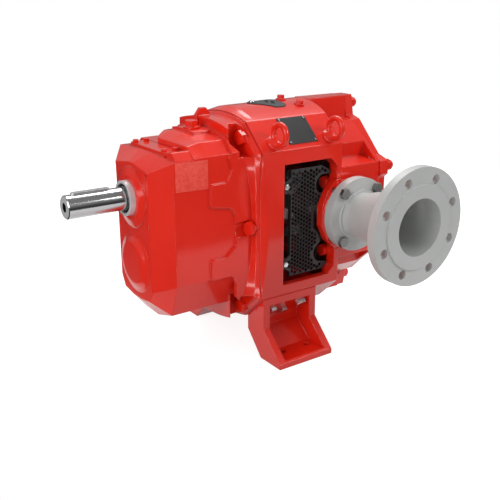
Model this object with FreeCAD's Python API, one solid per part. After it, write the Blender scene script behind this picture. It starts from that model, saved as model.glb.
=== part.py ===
import FreeCAD, Part
import math
import os

# Rotary lobe pump: timing gearbox, open lantern, rotor casing with two flanged ports, two feet.
# Frame: X runs from the drive end to the pump cover, Z is up, and the origin lies on the base
# plane at the centre of the four foot bolts. Lengths along X are kept from the port axis, and
# heights from the mid-plane between the two shafts. All sizes are in millimetres.

V = FreeCAD.Vector

# Main layout
AXIS_HEIGHT = 266.0
PORT_X = 144.5
SHAFT_SPACING = 125.0
SIDE_HALF_WIDTH = 130.0
SIDE_HALF_HEIGHT = 140.0
ROOF_EDGE_INSET = 53.0
ROOF_EDGE_Y = SIDE_HALF_WIDTH - ROOF_EDGE_INSET
ROOF_EDGE_RISE = 50.0
ROOF_EDGE_Z = SIDE_HALF_HEIGHT + ROOF_EDGE_RISE
RIDGE_HALF_WIDTH = 20.0
RIDGE_RISE = 21.0
RIDGE_Z = ROOF_EDGE_Z + RIDGE_RISE
CROWN_END_Z = ROOF_EDGE_Z + 10.5
CROWN_REAR_Z = ROOF_EDGE_Z + 18.0
CROWN_RUN = 18.0

# Lengths along the shafts
CASING_REAR = 25.0
CASING_FRONT = 76.0
COVER_THICKNESS = 20.0
LANTERN_LENGTH = 188.0
GEAR_FLANGE = 11.0
GEARCASE_HIGH = 114.0
GEARCASE_LOW = 39.0
NOSE_LENGTH = 30.0
BOSS_LENGTH = 8.0
SHAFT_REACH = 119.0

# Fits and gaps
FIT = 0.05
RUNNING = 0.3

# Gearbox housing
GEARCASE_HALF_WIDTH = 102.0
GEARCASE_SHOULDER = 141.0
GEARCASE_ROOF_Y = 80.0
GEARCASE_ROOF_Z = 163.0
GEARCASE_RIDGE_Z = 171.0
LOW_ROOF_Z = 144.0
LOW_ROOF_EDGE_Z = 138.5
RIM_Y = -87.0
RIM_Z = 152.5
RIM_SLOT = 4.0
GEARCASE_BELLY = 86.0
GEARCASE_BASE_Z = 166.0
BELLY_SHARE_Y = 0.77
BELLY_SHARE_Z = 0.9
KEEL_SHARE = 0.24
SWEEP_PLAN = ((-7.0, 16.0), (9.0, 35.0), (38.0, 56.0))
SWEEP_END_Y = 61.0
NOSE_HOLE_RADIUS = 3.0
NOSE_HOLE_DEPTH = 14.0
NOSE_HOLES = ((52.0, 111.0), (-56.0, 111.0), (-57.0, 20.0), (57.0, 20.0))
NOSE_TOP = 126.0
NOSE_CORNER_Y = 62.0
NOSE_CORNER_Z = 117.0
NOSE_BOTTOM = 130.0
GEAR_WELL_RADIUS = 76.0
GEAR_WELL_LENGTH = 152.0
DRIVE_BOSS_RADIUS = 56.0
DRIVE_BOSS_CROWN = 40.0
BLIND_BOSS_RADIUS = 46.0
BLIND_BOSS_CROWN = 39.0
BOSS_COLLAR = 3.0
FLANGE_BOLT_INSET = 27.0
FLANGE_BOLT_Y = ROOF_EDGE_Y + 7.0
FLANGE_BOLT_Z = ROOF_EDGE_Z - FLANGE_BOLT_INSET
FLANGE_BOLT_SIDE = SIDE_HALF_WIDTH - 18.0
SIDE_BOLT_POCKET = 15.0
FLANGE_BEVEL = 4.0
FLANGE_DRAW = 8.0
BLOCK_LENGTH = 32.0
BLOCK_HALF_WIDTH = 87.0
POCKET_INNER_Y = 62.0
POCKET_OUTER_Y = 110.0
POCKET_STEP = 13.0
ROOF_PAD_HALF = 38.0
ROOF_PAD_REACH = 76.0
ROOF_RUN = 26.0
ROOF_DROP = 5.0
SKIN_LAP = 6.0
LUG_THICKNESS = 9.0
LUG_SET = 9.0
LUG_HEIGHT = 36.0
LUG_LENGTH = 34.0
SIDE_STEP = 5.0
FLARE_TOP = 133.0
FLARE_ROOT = 30.0
WAIST_FOOT = 16.0
WAIST_BOW = 22.0
WAIST_REACH = 13.0
TONGUE_TIP = 307.0
TONGUE_ROOT = 254.0
UPPER_TONGUE = (91.0, 50.0)
LOWER_TONGUE = (-48.0, -88.0)
TONGUE_CORNER = 6.0

# Inspection cover and breather
HATCH_LENGTH = 34.0
HATCH_HALF_WIDTH = 66.0
HATCH_THICKNESS = 5.0
HATCH_BOLT_Y = 54.0
BREATHER_X = 61.0
BREATHER_RADIUS = 16.0
BREATHER_HEX = 22.0
BREATHER_HEIGHT = 11.0

# Lantern, the housing between gearbox and casing
REAR_WALL = 26.0
LANTERN_WALL = 14.0
FRONT_WALL = 22.0
WINDOW_REAR = 163.0
WINDOW_FRONT = 36.0
WINDOW_TOP = 113.0
WINDOW_BOTTOM = 121.0
WINDOW_DEPTH = 43.0
WINDOW_CORNER = 16.0
CASING_BOLT_TOP = 59.0
CASING_BOLT_BOTTOM = 81.0
ROOF_WINDOW_REAR = 153.0
ROOF_WINDOW_FRONT = 90.0
ROOF_WINDOW_HALF = 43.0

# Guards over the windows
GUARD_THICKNESS = 3.0
GUARD_RECESS = 18.0
GUARD_Y = SIDE_HALF_WIDTH - GUARD_RECESS
GUARD_REAR = 138.0
GUARD_FRONT = 50.0
GUARD_TOP = 99.0
GUARD_BOTTOM = 115.0
GUARD_EAR = 9.0
GUARD_EAR_HEIGHT = 22.0
GUARD_EAR_TOP = 67.0
GUARD_EAR_BOTTOM = 86.0
GUARD_HOLE = 8.0
GUARD_PITCH = 13.0
GUARD_BORDER = 9.0
ROOF_GUARD_SINK = 1.5
PLUG_RADIUS = 10.0
PLUG_SINK = 0.4
SCREW_HEAD = 6.0
SCREW_HEAD_HEIGHT = 4.0

# Nameplate and lifting eyes on the near upper bevel
PLATE_REAR = 146.0
PLATE_FRONT = 80.0
PLATE_THICKNESS = 1.2
PLATE_MARGIN = 4.0
RIVET_RADIUS = 2.0
EYE_REAR_X = 178.0
EYE_FRONT_X = 48.0
EYE_BEVEL = 0.24
EYE_RING_RADIUS = 18.5
EYE_WIRE = 5.5
EYE_COLLAR = 15.0
EYE_COLLAR_HEIGHT = 8.0
EYE_SHANK = 6.0
EYE_SHANK_LENGTH = 12.0

# Rotor casing
ROTOR_LOBES = 3
ROTOR_PROFILE_GAP = 0.2
LEDGE_WIDTH = 41.0
CASING_WALL_Y = SIDE_HALF_WIDTH - LEDGE_WIDTH
LEDGE_OUTER_Z = 92.0
LEDGE_INNER_Z = 100.0
BEVEL_START_Z = 128.0
BEVEL_TOP_Y = CASING_WALL_Y - 45.0
BEVEL_TOP_Z = 164.0
BEAM_ROOT_Z = 168.0
END_FLANGE = 9.0
SPIGOT_RADIUS = 80.0
SPIGOT_LENGTH = 22.0
SPIGOT_TO_BOLT = 20.0
CASING_BOLT_Y = SPIGOT_RADIUS + SPIGOT_TO_BOLT
PAD_REACH = 82.0
PAD_FLAT = 20.0
PAD_SHOULDER_X = 55.0
PAD_SHOULDER = 51.0
PAD_TOP = 70.0
PAD_PLATE = 16.0
PORT_BOSS_RADIUS = 68.0
PORT_BOSS_HEIGHT = 8.0
PORT_SEAT_Y = SIDE_HALF_WIDTH + PORT_BOSS_HEIGHT
PORT_NECK_RADIUS = 52.0
PORT_BORE_SMALL = 80.0
PORT_THROAT = 76.0
PORT_THROAT_SHIFT = 18.0
SEAL_BORE = 38.0
SEAL_FLANGE = SEAL_BORE + 9.0
WEAR_PLATE = 3.0

# Cover
COVER_FACE_LIFT = 4.0
COVER_BEVEL_Y = SIDE_HALF_WIDTH - 24.0
COVER_BEVEL_Z = LEDGE_OUTER_Z + 9.0
COVER_STUD_TOP = 192.0
COVER_STUD_INSET = 12.0
COVER_STUD_SIDE_Y = SIDE_HALF_WIDTH - COVER_STUD_INSET
COVER_STUD_SIDE_Z = 78.0
STUD_RADIUS = 8.0
NUT_RADIUS = 13.0
NUT_HEIGHT = 12.0
WASHER = 3.0

# Port spools
SPOOL_HUB_THICKNESS = 18.0
SPOOL_HUB_RADIUS = 73.0
SPOOL_BOLT_CIRCLE = 64.0
SPOOL_BOLT_ANGLE = 49.0
GASKET = 2.0
SPOOL_LENGTH = 186.0
PORT_FACE = SIDE_HALF_WIDTH + SPOOL_LENGTH
PORT_RISE = 12.7
FLANGE_OD = 220.0
FLANGE_PCD = 180.0
FLANGE_HOLE = 18.0
FLANGE_HOLES = 8
FLANGE_THICKNESS = 20.0
FLANGE_RAISED = 158.0
FLANGE_RAISED_HEIGHT = 3.0
FLANGE_BORE = 107.0
NECK_SMALL = 92.0
NECK_LARGE = 117.0

# Shafts, gears, rotors
SHAFT_END_RADIUS = 21.0
SHAFT_BEARING_FRONT = 22.5
SHAFT_SHOULDER = 30.0
SHAFT_GEAR_SEAT = 27.5
SHAFT_BODY = 25.0
SHAFT_ROTOR_SEAT = 20.0
KEY_WIDTH = 12.0
KEY_HEIGHT = 8.0
KEY_LENGTH = 70.0
KEY_SET = 13.0
KEY_DEPTH = 5.0
CENTRE_HOLE = 8.5
CENTRE_DEPTH = 42.0
END_CHAMFER = 2.0
TOOTH_COUNT = 25
GEAR_WIDTH = 28.0
GEAR_SET_BACK = 128.0
SHAFT_EXTENSION = 110.0
BACKLASH = 0.5
PRESSURE_ANGLE = 20.0
BEARING_WIDTH = 20.0
BEARING_FRONT_OD = 85.0
BEARING_REAR_OD = 90.0
BEARING_RING = 7.0
SEAL_SLEEVE_OD = 64.0
SEAL_SLEEVE_ID = 54.0
SEAL_SLEEVE_REACH = 10.0
ROTOR_BOLT_RADIUS = 26.0
ROTOR_BOLT_DEPTH = 8.0

# Feet
FOOT_REAR = 208.0
FOOT_FRONT = 81.0
FOOT_SPLAY = 54.0
FOOT_WIDTH = 63.0
FOOT_KNEE_DROP = 63.0
FOOT_OUT = SIDE_HALF_WIDTH + FOOT_SPLAY
FOOT_TOE = FOOT_OUT - FOOT_WIDTH
FOOT_KNEE_Z = AXIS_HEIGHT - FOOT_KNEE_DROP
FOOT_WALL = 15.0
FOOT_PLATE = 14.0
FOOT_HOLE = 14.0
FOOT_BOLT_PITCH = 60.0
FOOT_BOLT_INSET = 39.0
FOOT_BOLT_Y = FOOT_OUT - FOOT_BOLT_INSET
FOOT_X_SPREAD = 36.0
FOOT_SEAT = 12.0

# Hexagon bolts: across flats, head height, shank radius, shank length
FLANGE_BOLT = (24.0, 10.0, 8.0, 30.0)
HATCH_BOLT = (10.0, 5.0, 3.0, 12.0)
FOOT_BOLT = (19.0, 8.0, 6.0, 26.0)
PORT_BOLT = (19.0, 8.0, 6.0, 40.0)
CASING_BOLT = (22.0, 10.0, 8.0, 30.0)

# Stations along X
X_COVER = PORT_X + CASING_FRONT
X_COVER_FACE = X_COVER + COVER_THICKNESS
X_CASING = PORT_X - CASING_REAR
X_LANTERN = X_CASING - LANTERN_LENGTH
X_HIGH = X_LANTERN - GEAR_FLANGE - GEARCASE_HIGH
X_LOW = X_HIGH - GEARCASE_LOW
X_NOSE = X_LOW - NOSE_LENGTH
X_BOSS = X_NOSE - BOSS_LENGTH
X_SHAFT_END = X_BOSS - SHAFT_REACH
PITCH_RADIUS = SHAFT_SPACING / 2.0
Z_DRIVE = AXIS_HEIGHT + PITCH_RADIUS
Z_DRIVEN = AXIS_HEIGHT - PITCH_RADIUS
CHAMBER_RADIUS = PITCH_RADIUS * (1.0 + 1.0 / ROTOR_LOBES) + RUNNING
X_WELL = X_LANTERN - GEAR_WELL_LENGTH
X_GEAR = X_LANTERN - GEAR_SET_BACK
X_FLANGE = X_LANTERN - GEAR_FLANGE
X_BLOCK = X_FLANGE - BLOCK_LENGTH
X_HATCH = X_HIGH - HATCH_LENGTH / 2 - 2.0
BREATHER_PLACE = V(X_FLANGE - BREATHER_X, -8.0, AXIS_HEIGHT + GEARCASE_RIDGE_Z + SIDE_STEP)
BEVEL_RATIO = (ROOF_EDGE_Z - SIDE_HALF_HEIGHT) / (SIDE_HALF_WIDTH - ROOF_EDGE_Y)


# Solids from profiles and rods

def both_sides(half):
    """Close an outline that is given on the +Y side from the top down."""
    return half + [(-y, h) for y, h in reversed(half)]


def up_and_down(upper):
    """Close a half outline that is the same above and below the mid-plane."""
    return both_sides(upper + [(y, -h) for y, h in reversed(upper)])


def section(outline, x):
    points = [V(x, y, AXIS_HEIGHT + h) for y, h in outline]
    return Part.makePolygon(points + points[:1])


def prism_x(outline, x0, x1):
    return Part.Face(section(outline, x0)).extrude(V(x1 - x0, 0, 0))


def prism_y(outline, y0, y1):
    """Extrude an (x, height) outline along Y; x counts from the port axis."""
    points = [V(PORT_X + x, y0, AXIS_HEIGHT + h) for x, h in outline]
    face = Part.Face(Part.makePolygon(points + points[:1]))
    return face.extrude(V(0, y1 - y0, 0))


def prism_z(outline, h0, h1):
    """Extrude an (x, y) outline upwards; x counts from the port axis."""
    points = [V(PORT_X + x, y, AXIS_HEIGHT + h0) for x, y in outline]
    face = Part.Face(Part.makePolygon(points + points[:1]))
    return face.extrude(V(0, 0, h1 - h0))


def rod_x(x0, x1, radius, y=0.0, h=0.0):
    return Part.makeCylinder(radius, x1 - x0, V(x0, y, AXIS_HEIGHT + h), V(1, 0, 0))


def ring_x(x0, x1, outer, inner, h):
    return rod_x(x0, x1, outer, 0.0, h).cut(rod_x(x0, x1, inner, 0.0, h))


def rod_y(y0, y1, radius, x, h):
    return Part.makeCylinder(radius, y1 - y0, V(PORT_X + x, y0, AXIS_HEIGHT + h), V(0, 1, 0))


def capsule(x0, x1, radius):
    """The oval that surrounds both shafts."""
    middle = Part.makeBox(x1 - x0, 2 * radius, SHAFT_SPACING, V(x0, -radius, Z_DRIVEN))
    upper = rod_x(x0, x1, radius, 0.0, PITCH_RADIUS)
    lower = rod_x(x0, x1, radius, 0.0, -PITCH_RADIUS)
    return middle.fuse([upper, lower]).removeSplitter()


def twin_bore(x0, x1, radius):
    upper = rod_x(x0, x1, radius, 0.0, PITCH_RADIUS)
    lower = rod_x(x0, x1, radius, 0.0, -PITCH_RADIUS)
    return upper.fuse(lower)


def far_copy(shape):
    return shape.mirror(V(0, 0, 0), V(0, 1, 0))


def turned(shape, seat, direction):
    """Stand a shape that was made along +Z on a seat, along a direction."""
    shape.Placement = FreeCAD.Placement(seat, FreeCAD.Rotation(V(0, 0, 1), direction))
    return shape


# Hexagon bolts and their holes

def hexagon(across_flats, height):
    corner = across_flats / math.sqrt(3)
    angles = [math.radians(60 * k) for k in range(7)]
    points = [V(corner * math.cos(a), corner * math.sin(a), 0) for a in angles]
    return Part.Face(Part.makePolygon(points)).extrude(V(0, 0, height))


def hex_bolt(size, seat, direction):
    across_flats, head, shank, length = size
    body = hexagon(across_flats, head)
    body = body.fuse(Part.makeCylinder(shank, length, V(0, 0, -length)))
    return turned(body, seat, direction)


def bolt_group(size, seats):
    return Part.makeCompound([hex_bolt(size, seat, direction) for seat, direction in seats])


def bolt_holes(size, seats):
    radius = size[2] + FIT
    depth = size[3] + 1.0
    holes = []
    for seat, direction in seats:
        hole = Part.makeCylinder(radius, depth + 1.0, V(0, 0, -depth))
        holes.append(turned(hole, seat, direction))
    return holes


# Outlines of the castings

def housing_section(x, crown, inset):
    """Octagon of the two housings with an arched top and bottom, drawn in by an inset."""
    normal = bevel_normal()
    side = SIDE_HALF_WIDTH - inset
    corner = SIDE_HALF_HEIGHT - inset * (1.0 + normal.y) / normal.z
    edge_y = ROOF_EDGE_Y + inset * (1.0 - normal.z) / normal.y
    edge_z = ROOF_EDGE_Z - inset
    rim = [V(x, s * edge_y, AXIS_HEIGHT + t * edge_z) for s, t in ((1, 1), (-1, 1), (-1, -1), (1, -1))]
    wall = [V(x, s * side, AXIS_HEIGHT + t * corner) for s, t in ((1, 1), (-1, 1), (-1, -1), (1, -1))]
    top = Part.Arc(rim[0], V(x, 0, AXIS_HEIGHT + crown - inset), rim[1]).toShape()
    bottom = Part.Arc(rim[2], V(x, 0, AXIS_HEIGHT - crown + inset), rim[3]).toShape()
    near = Part.makePolygon([rim[1], wall[1], wall[2], rim[2]])
    far = Part.makePolygon([rim[3], wall[3], wall[0], rim[0]])
    return Part.Wire([top] + near.Edges + [bottom] + far.Edges)


def housing_block(sections):
    """Solid through housing sections, each given as x, crown and inset."""
    return Part.makeLoft([housing_section(x, crown, inset) for x, crown, inset in sections], True, True)


def roof_height(x, y):
    """Height of the lantern's arched roof over a point; x counts from the port axis."""
    run = (x - X_LANTERN + PORT_X - CROWN_RUN) / (LANTERN_LENGTH - CROWN_RUN)
    rise = CROWN_REAR_Z + run * (RIDGE_Z - CROWN_REAR_Z) - ROOF_EDGE_Z
    radius = (ROOF_EDGE_Y ** 2 + rise ** 2) / (2 * rise)
    return ROOF_EDGE_Z + rise - radius + math.sqrt(radius ** 2 - y ** 2)


def casing_outline():
    upper = [
        (RIDGE_HALF_WIDTH, RIDGE_Z - FIT),
        (RIDGE_HALF_WIDTH + 2.0, BEAM_ROOT_Z),
        (BEVEL_TOP_Y, BEVEL_TOP_Z),
        (CASING_WALL_Y, BEVEL_START_Z),
        (CASING_WALL_Y, LEDGE_INNER_Z),
        (SIDE_HALF_WIDTH, LEDGE_OUTER_Z),
    ]
    return up_and_down(upper)


def end_flange_outline():
    """The casing's front flange fills the corner between bevel and ledge."""
    upper = [
        (RIDGE_HALF_WIDTH, RIDGE_Z - FIT),
        (RIDGE_HALF_WIDTH + 2.0, BEAM_ROOT_Z),
        (BEVEL_TOP_Y, BEVEL_TOP_Z),
        (CASING_WALL_Y, BEVEL_START_Z),
        (SIDE_HALF_WIDTH, LEDGE_OUTER_Z),
    ]
    return up_and_down(upper)


def cover_outline():
    lift = COVER_FACE_LIFT
    upper = [
        (RIDGE_HALF_WIDTH - lift, RIDGE_Z - FIT),
        (RIDGE_HALF_WIDTH + lift, BEAM_ROOT_Z + lift / 2),
        (BEVEL_TOP_Y, BEVEL_TOP_Z),
        (COVER_BEVEL_Y, COVER_BEVEL_Z),
        (SIDE_HALF_WIDTH + lift, LEDGE_OUTER_Z),
        (SIDE_HALF_WIDTH + lift, LEDGE_OUTER_Z * 0.7),
        (SIDE_HALF_WIDTH - lift, LEDGE_OUTER_Z * 0.62),
    ]
    return up_and_down(upper)


def gearcase_high_outline(drop):
    """Section of the high part; its roof drops towards the front wall."""
    half = [
        (RIDGE_HALF_WIDTH, GEARCASE_RIDGE_Z - 2.5 * drop),
        (GEARCASE_ROOF_Y, GEARCASE_ROOF_Z - drop),
        (GEARCASE_HALF_WIDTH, GEARCASE_SHOULDER),
        (GEARCASE_HALF_WIDTH, -GEARCASE_BELLY),
        (BELLY_SHARE_Y * GEARCASE_HALF_WIDTH, -BELLY_SHARE_Z * GEARCASE_BASE_Z),
        (KEEL_SHARE * GEARCASE_HALF_WIDTH, -GEARCASE_BASE_Z),
    ]
    return both_sides(half)


def gearcase_low_outline():
    half = [
        (RIDGE_HALF_WIDTH, LOW_ROOF_Z),
        (GEARCASE_HALF_WIDTH, LOW_ROOF_EDGE_Z),
        (GEARCASE_HALF_WIDTH, -GEARCASE_BELLY),
        (BELLY_SHARE_Y * GEARCASE_HALF_WIDTH, -BELLY_SHARE_Z * GEARCASE_BASE_Z),
        (KEEL_SHARE * GEARCASE_HALF_WIDTH, -GEARCASE_BASE_Z),
    ]
    return both_sides(half)


def nose_outline():
    half = [
        (RIDGE_HALF_WIDTH * 0.4, NOSE_TOP),
        (NOSE_CORNER_Y, NOSE_CORNER_Z),
        (NOSE_CORNER_Y, -NOSE_CORNER_Z * 0.88),
        (NOSE_CORNER_Y * 0.8, -NOSE_BOTTOM * 0.96),
        (NOSE_CORNER_Y * 0.3, -NOSE_BOTTOM),
    ]
    return both_sides(half)


# Seats of the fasteners

def flange_bolt_seats():
    """Six screws clamp the gearbox flange to the lantern, heads towards the drive end."""
    places = [(s * FLANGE_BOLT_Y, t * FLANGE_BOLT_Z) for s in (-1, 1) for t in (-1, 1)]
    places += [(-FLANGE_BOLT_SIDE, 0.0), (FLANGE_BOLT_SIDE, 0.0)]
    return [(V(X_FLANGE, y, AXIS_HEIGHT + h), V(-1, 0, 0)) for y, h in places]


def hatch_bolt_seats():
    inset = HATCH_LENGTH / 2 - 6.0
    z = AXIS_HEIGHT + LOW_ROOF_Z + HATCH_THICKNESS
    places = [(X_HATCH + s * inset, t * HATCH_BOLT_Y) for s in (-1, 1) for t in (-1, 1)]
    return [(V(x, y, z), V(0, 0, 1)) for x, y in places]


def casing_bolt_seats():
    """Four screws draw the rotor casing onto the lantern from inside its windows."""
    x = PORT_X - WINDOW_FRONT
    places = [(s * CASING_BOLT_Y, h) for s in (-1, 1) for h in (CASING_BOLT_TOP, -CASING_BOLT_BOTTOM)]
    return [(V(x, y, AXIS_HEIGHT + h), V(-1, 0, 0)) for y, h in places]


def port_bolt_seats(side):
    """Four screws hold a port spool on the casing pad; side is -1 near, 1 far."""
    y = side * (PORT_SEAT_Y + GASKET + SPOOL_HUB_THICKNESS)
    seats = []
    for sign_x in (-1, 1):
        for sign_z in (-1, 1):
            angle = math.radians(SPOOL_BOLT_ANGLE)
            x = PORT_X + sign_x * SPOOL_BOLT_CIRCLE * math.cos(angle)
            z = AXIS_HEIGHT + sign_z * SPOOL_BOLT_CIRCLE * math.sin(angle)
            seats.append((V(x, y, z), V(0, side, 0)))
    return seats


def cover_stud_places():
    """One stud at each end of the beam and one at each ear of the cover."""
    places = [(0.0, COVER_STUD_TOP), (0.0, -COVER_STUD_TOP)]
    places += [(s * COVER_STUD_SIDE_Y, t * COVER_STUD_SIDE_Z) for s in (-1, 1) for t in (-1, 1)]
    return places


# Gearbox

def gearcase_body():
    """High rear part, low front part with the hatch, and the tapered nose, as one casting."""
    high = prism_x(gearcase_high_outline(0.0), X_HIGH + ROOF_RUN, X_FLANGE)
    front = Part.makeLoft([section(gearcase_high_outline(ROOF_DROP), X_HIGH),
                           section(gearcase_high_outline(0.0), X_HIGH + ROOF_RUN)], True, True)
    low = prism_x(gearcase_low_outline(), X_LOW, X_HIGH)
    wide_end = section(gearcase_low_outline(), X_LOW)
    narrow_end = section(nose_outline(), X_NOSE)
    nose = Part.makeLoft([narrow_end, wide_end], True, True)
    pad = Part.makeBox(HATCH_LENGTH + 3.0, 2 * HATCH_HALF_WIDTH, 12.0,
                       V(X_HIGH - HATCH_LENGTH - 3.0, -HATCH_HALF_WIDTH,
                         AXIS_HEIGHT + LOW_ROOF_Z - 12.0))
    high = high.fuse(front).cut(roof_sweep())
    return high.fuse([low, nose, pad, near_rim()] + gearcase_flange() + side_flares())


def roof_sweep():
    """Far front corner of the high part, swept away towards the flange."""
    end = X_BLOCK - 2 * SKIN_LAP
    plan = [(X_HIGH + run, y) for run, y in SWEEP_PLAN]
    plan += [(end, SWEEP_END_Y), (end, SIDE_HALF_WIDTH), (plan[0][0], SIDE_HALF_WIDTH)]
    return prism_z([(x - PORT_X, y) for x, y in plan], LOW_ROOF_Z + HATCH_THICKNESS, RIDGE_Z)


def near_rim():
    """Raised edge of the low part on the near side, beside the hatch."""
    inner = -HATCH_HALF_WIDTH - RIM_SLOT
    root = LOW_ROOF_Z - 2 * HATCH_THICKNESS
    outline = [(inner, root), (inner, RIM_Z - 2.0), (RIM_Y, RIM_Z)]
    outline += [(-GEARCASE_HALF_WIDTH, LOW_ROOF_EDGE_Z), (-GEARCASE_HALF_WIDTH, root)]
    return prism_x(outline, X_LOW + RIM_SLOT, X_HIGH + 1.0)


def gearcase_flange():
    """Thin chamfered plate against the lantern and the thick block behind it, above and below."""
    flank = X_FLANGE + FLANGE_BEVEL
    plate = housing_block([(flank, CROWN_END_Z, FLANGE_DRAW), (X_LANTERN, CROWN_END_Z, 1.0)])
    inner = housing_block([(X_FLANGE, CROWN_END_Z, FLANGE_DRAW), (flank, CROWN_END_Z, FLANGE_DRAW)])
    top = CROWN_END_Z - FLANGE_DRAW
    edge = ROOF_EDGE_Z - FLANGE_DRAW - 1.0
    block = []
    for s in (1, -1):
        arc = Part.Arc(V(X_BLOCK, -BLOCK_HALF_WIDTH, AXIS_HEIGHT + s * edge),
                       V(X_BLOCK, 0, AXIS_HEIGHT + s * top),
                       V(X_BLOCK, BLOCK_HALF_WIDTH, AXIS_HEIGHT + s * edge)).toShape()
        rest = Part.makePolygon([V(X_BLOCK, BLOCK_HALF_WIDTH, AXIS_HEIGHT + s * edge),
                                 V(X_BLOCK, BLOCK_HALF_WIDTH, AXIS_HEIGHT + s * FLARE_TOP),
                                 V(X_BLOCK, -BLOCK_HALF_WIDTH, AXIS_HEIGHT + s * FLARE_TOP),
                                 V(X_BLOCK, -BLOCK_HALF_WIDTH, AXIS_HEIGHT + s * edge)])
        face = Part.Face(Part.Wire([arc] + rest.Edges))
        block.append(face.extrude(V(X_FLANGE - X_BLOCK + 1.0, 0, 0)))
    return [plate, inner] + block


def side_flares():
    """Side walls between the flange and the narrower gearbox, before they are hollowed."""
    length = X_LANTERN - X_FLANGE + FLARE_ROOT
    near = Part.makeBox(length, SIDE_HALF_WIDTH - GEARCASE_HALF_WIDTH + 5.0, 2 * FLARE_TOP,
                        V(X_LANTERN - length, -SIDE_HALF_WIDTH, AXIS_HEIGHT - FLARE_TOP))
    return [near, far_copy(near)]


def corner_pockets():
    """Upright pockets round the four corner screws of the flange."""
    outside = -SIDE_HALF_WIDTH - 10.0
    plan = [(X_FLANGE, -POCKET_INNER_Y), (X_FLANGE - BLOCK_LENGTH / 2, -POCKET_INNER_Y)]
    plan += [(X_BLOCK, -BLOCK_HALF_WIDTH), (X_BLOCK - 2.0, -BLOCK_HALF_WIDTH - 6.0)]
    plan += [(X_BLOCK + POCKET_STEP, -POCKET_OUTER_Y), (X_BLOCK + POCKET_STEP, outside), (X_FLANGE, outside)]
    near = prism_z([(x - PORT_X, y) for x, y in plan], FLARE_TOP, RIDGE_Z + 1.0)
    low = prism_z([(x - PORT_X, y) for x, y in plan], -RIDGE_Z - 1.0, -FLARE_TOP)
    return [near, low, far_copy(near), far_copy(low)]


def gearbox_bosses():
    """Low collar and wide chamfer round the drive shaft, and a smaller blind pair below."""
    pieces = []
    for radius, crown, h in ((DRIVE_BOSS_RADIUS, DRIVE_BOSS_CROWN, PITCH_RADIUS),
                             (BLIND_BOSS_RADIUS, BLIND_BOSS_CROWN, -PITCH_RADIUS)):
        pieces.append(rod_x(X_NOSE - BOSS_COLLAR, X_NOSE + 1.0, radius, 0.0, h))
        pieces.append(Part.makeCone(crown, radius - 1.0, X_NOSE - BOSS_COLLAR - X_BOSS,
                                    V(X_BOSS, 0, AXIS_HEIGHT + h), V(1, 0, 0)))
    return pieces


def gearbox_lug():
    """Upright lifting lug on the roof, against the flange."""
    x1 = X_FLANGE - PORT_X - LUG_SET
    x0 = x1 - LUG_LENGTH
    h0 = GEARCASE_ROOF_Z
    h1 = GEARCASE_RIDGE_Z + LUG_HEIGHT
    outline = [(x0, h0), (x1, h0), (x1, h1 - 10.0), (x1 - 8.0, h1), (x0 + 14.0, h1), (x0 + 5.0, h1 - 12.0)]
    return prism_y(outline, 12.0, 12.0 + LUG_THICKNESS)


def side_tongues():
    """Raised skin of the side walls with two tongues that reach back between the bolts."""
    front = X_FLANGE - PORT_X
    top, tip, root = SIDE_HALF_HEIGHT, -TONGUE_TIP, -TONGUE_ROOT
    outline = [(front, top), (root - 15.0, top), (root - 7.0, top - 26.0)]
    outline += [(root - 18.0, UPPER_TONGUE[0]), (tip, UPPER_TONGUE[0])]
    outline += [(tip, UPPER_TONGUE[1]), (root - 10.0, UPPER_TONGUE[1] - 7.0)]
    outline += [(root, UPPER_TONGUE[1] - 21.0), (root, LOWER_TONGUE[0] + 18.0)]
    outline += [(root - 20.0, LOWER_TONGUE[0]), (tip, LOWER_TONGUE[0]), (tip, LOWER_TONGUE[1])]
    outline += [(root - 8.0, LOWER_TONGUE[1]), (root + 3.0, LOWER_TONGUE[1] - 24.0)]
    outline += [(root + 3.0, -top), (front, -top)]
    near = prism_y(outline, -GEARCASE_HALF_WIDTH - SIDE_STEP, -GEARCASE_HALF_WIDTH + 1.0)
    corners = [e for e in near.Edges
               if abs(e.tangentAt(e.FirstParameter).y) > 0.9 and e.BoundBox.XMax < X_FLANGE - 1.0]
    near = near.makeFillet(TONGUE_CORNER, corners)
    return [near, far_copy(near)]


def roof_skin():
    """The same raised skin over the bevels and the roof, and the pad under lug and breather."""
    grown = section(gearcase_high_outline(0.0), X_BLOCK - SKIN_LAP).makeOffset2D(SIDE_STEP, 2)
    band = Part.Face(grown).extrude(V(X_FLANGE - X_BLOCK + SKIN_LAP, 0, 0))
    above = Part.makeBox(120.0, 2 * SIDE_HALF_WIDTH, 120.0,
                         V(X_BLOCK - SKIN_LAP - 1.0, -SIDE_HALF_WIDTH, AXIS_HEIGHT + FLARE_TOP - 1.0))
    top = GEARCASE_RIDGE_Z + SIDE_STEP
    slope = SIDE_STEP * 0.5
    pad = [(ROOF_PAD_HALF, top - slope), (RIDGE_HALF_WIDTH, top), (-RIDGE_HALF_WIDTH, top),
           (-ROOF_PAD_HALF, top - slope), (-ROOF_PAD_HALF, GEARCASE_ROOF_Z - 5.0),
           (ROOF_PAD_HALF, GEARCASE_ROOF_Z - 5.0)]
    return [band.common(above), prism_x(pad, X_FLANGE - ROOF_PAD_REACH, X_BLOCK)]


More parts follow.
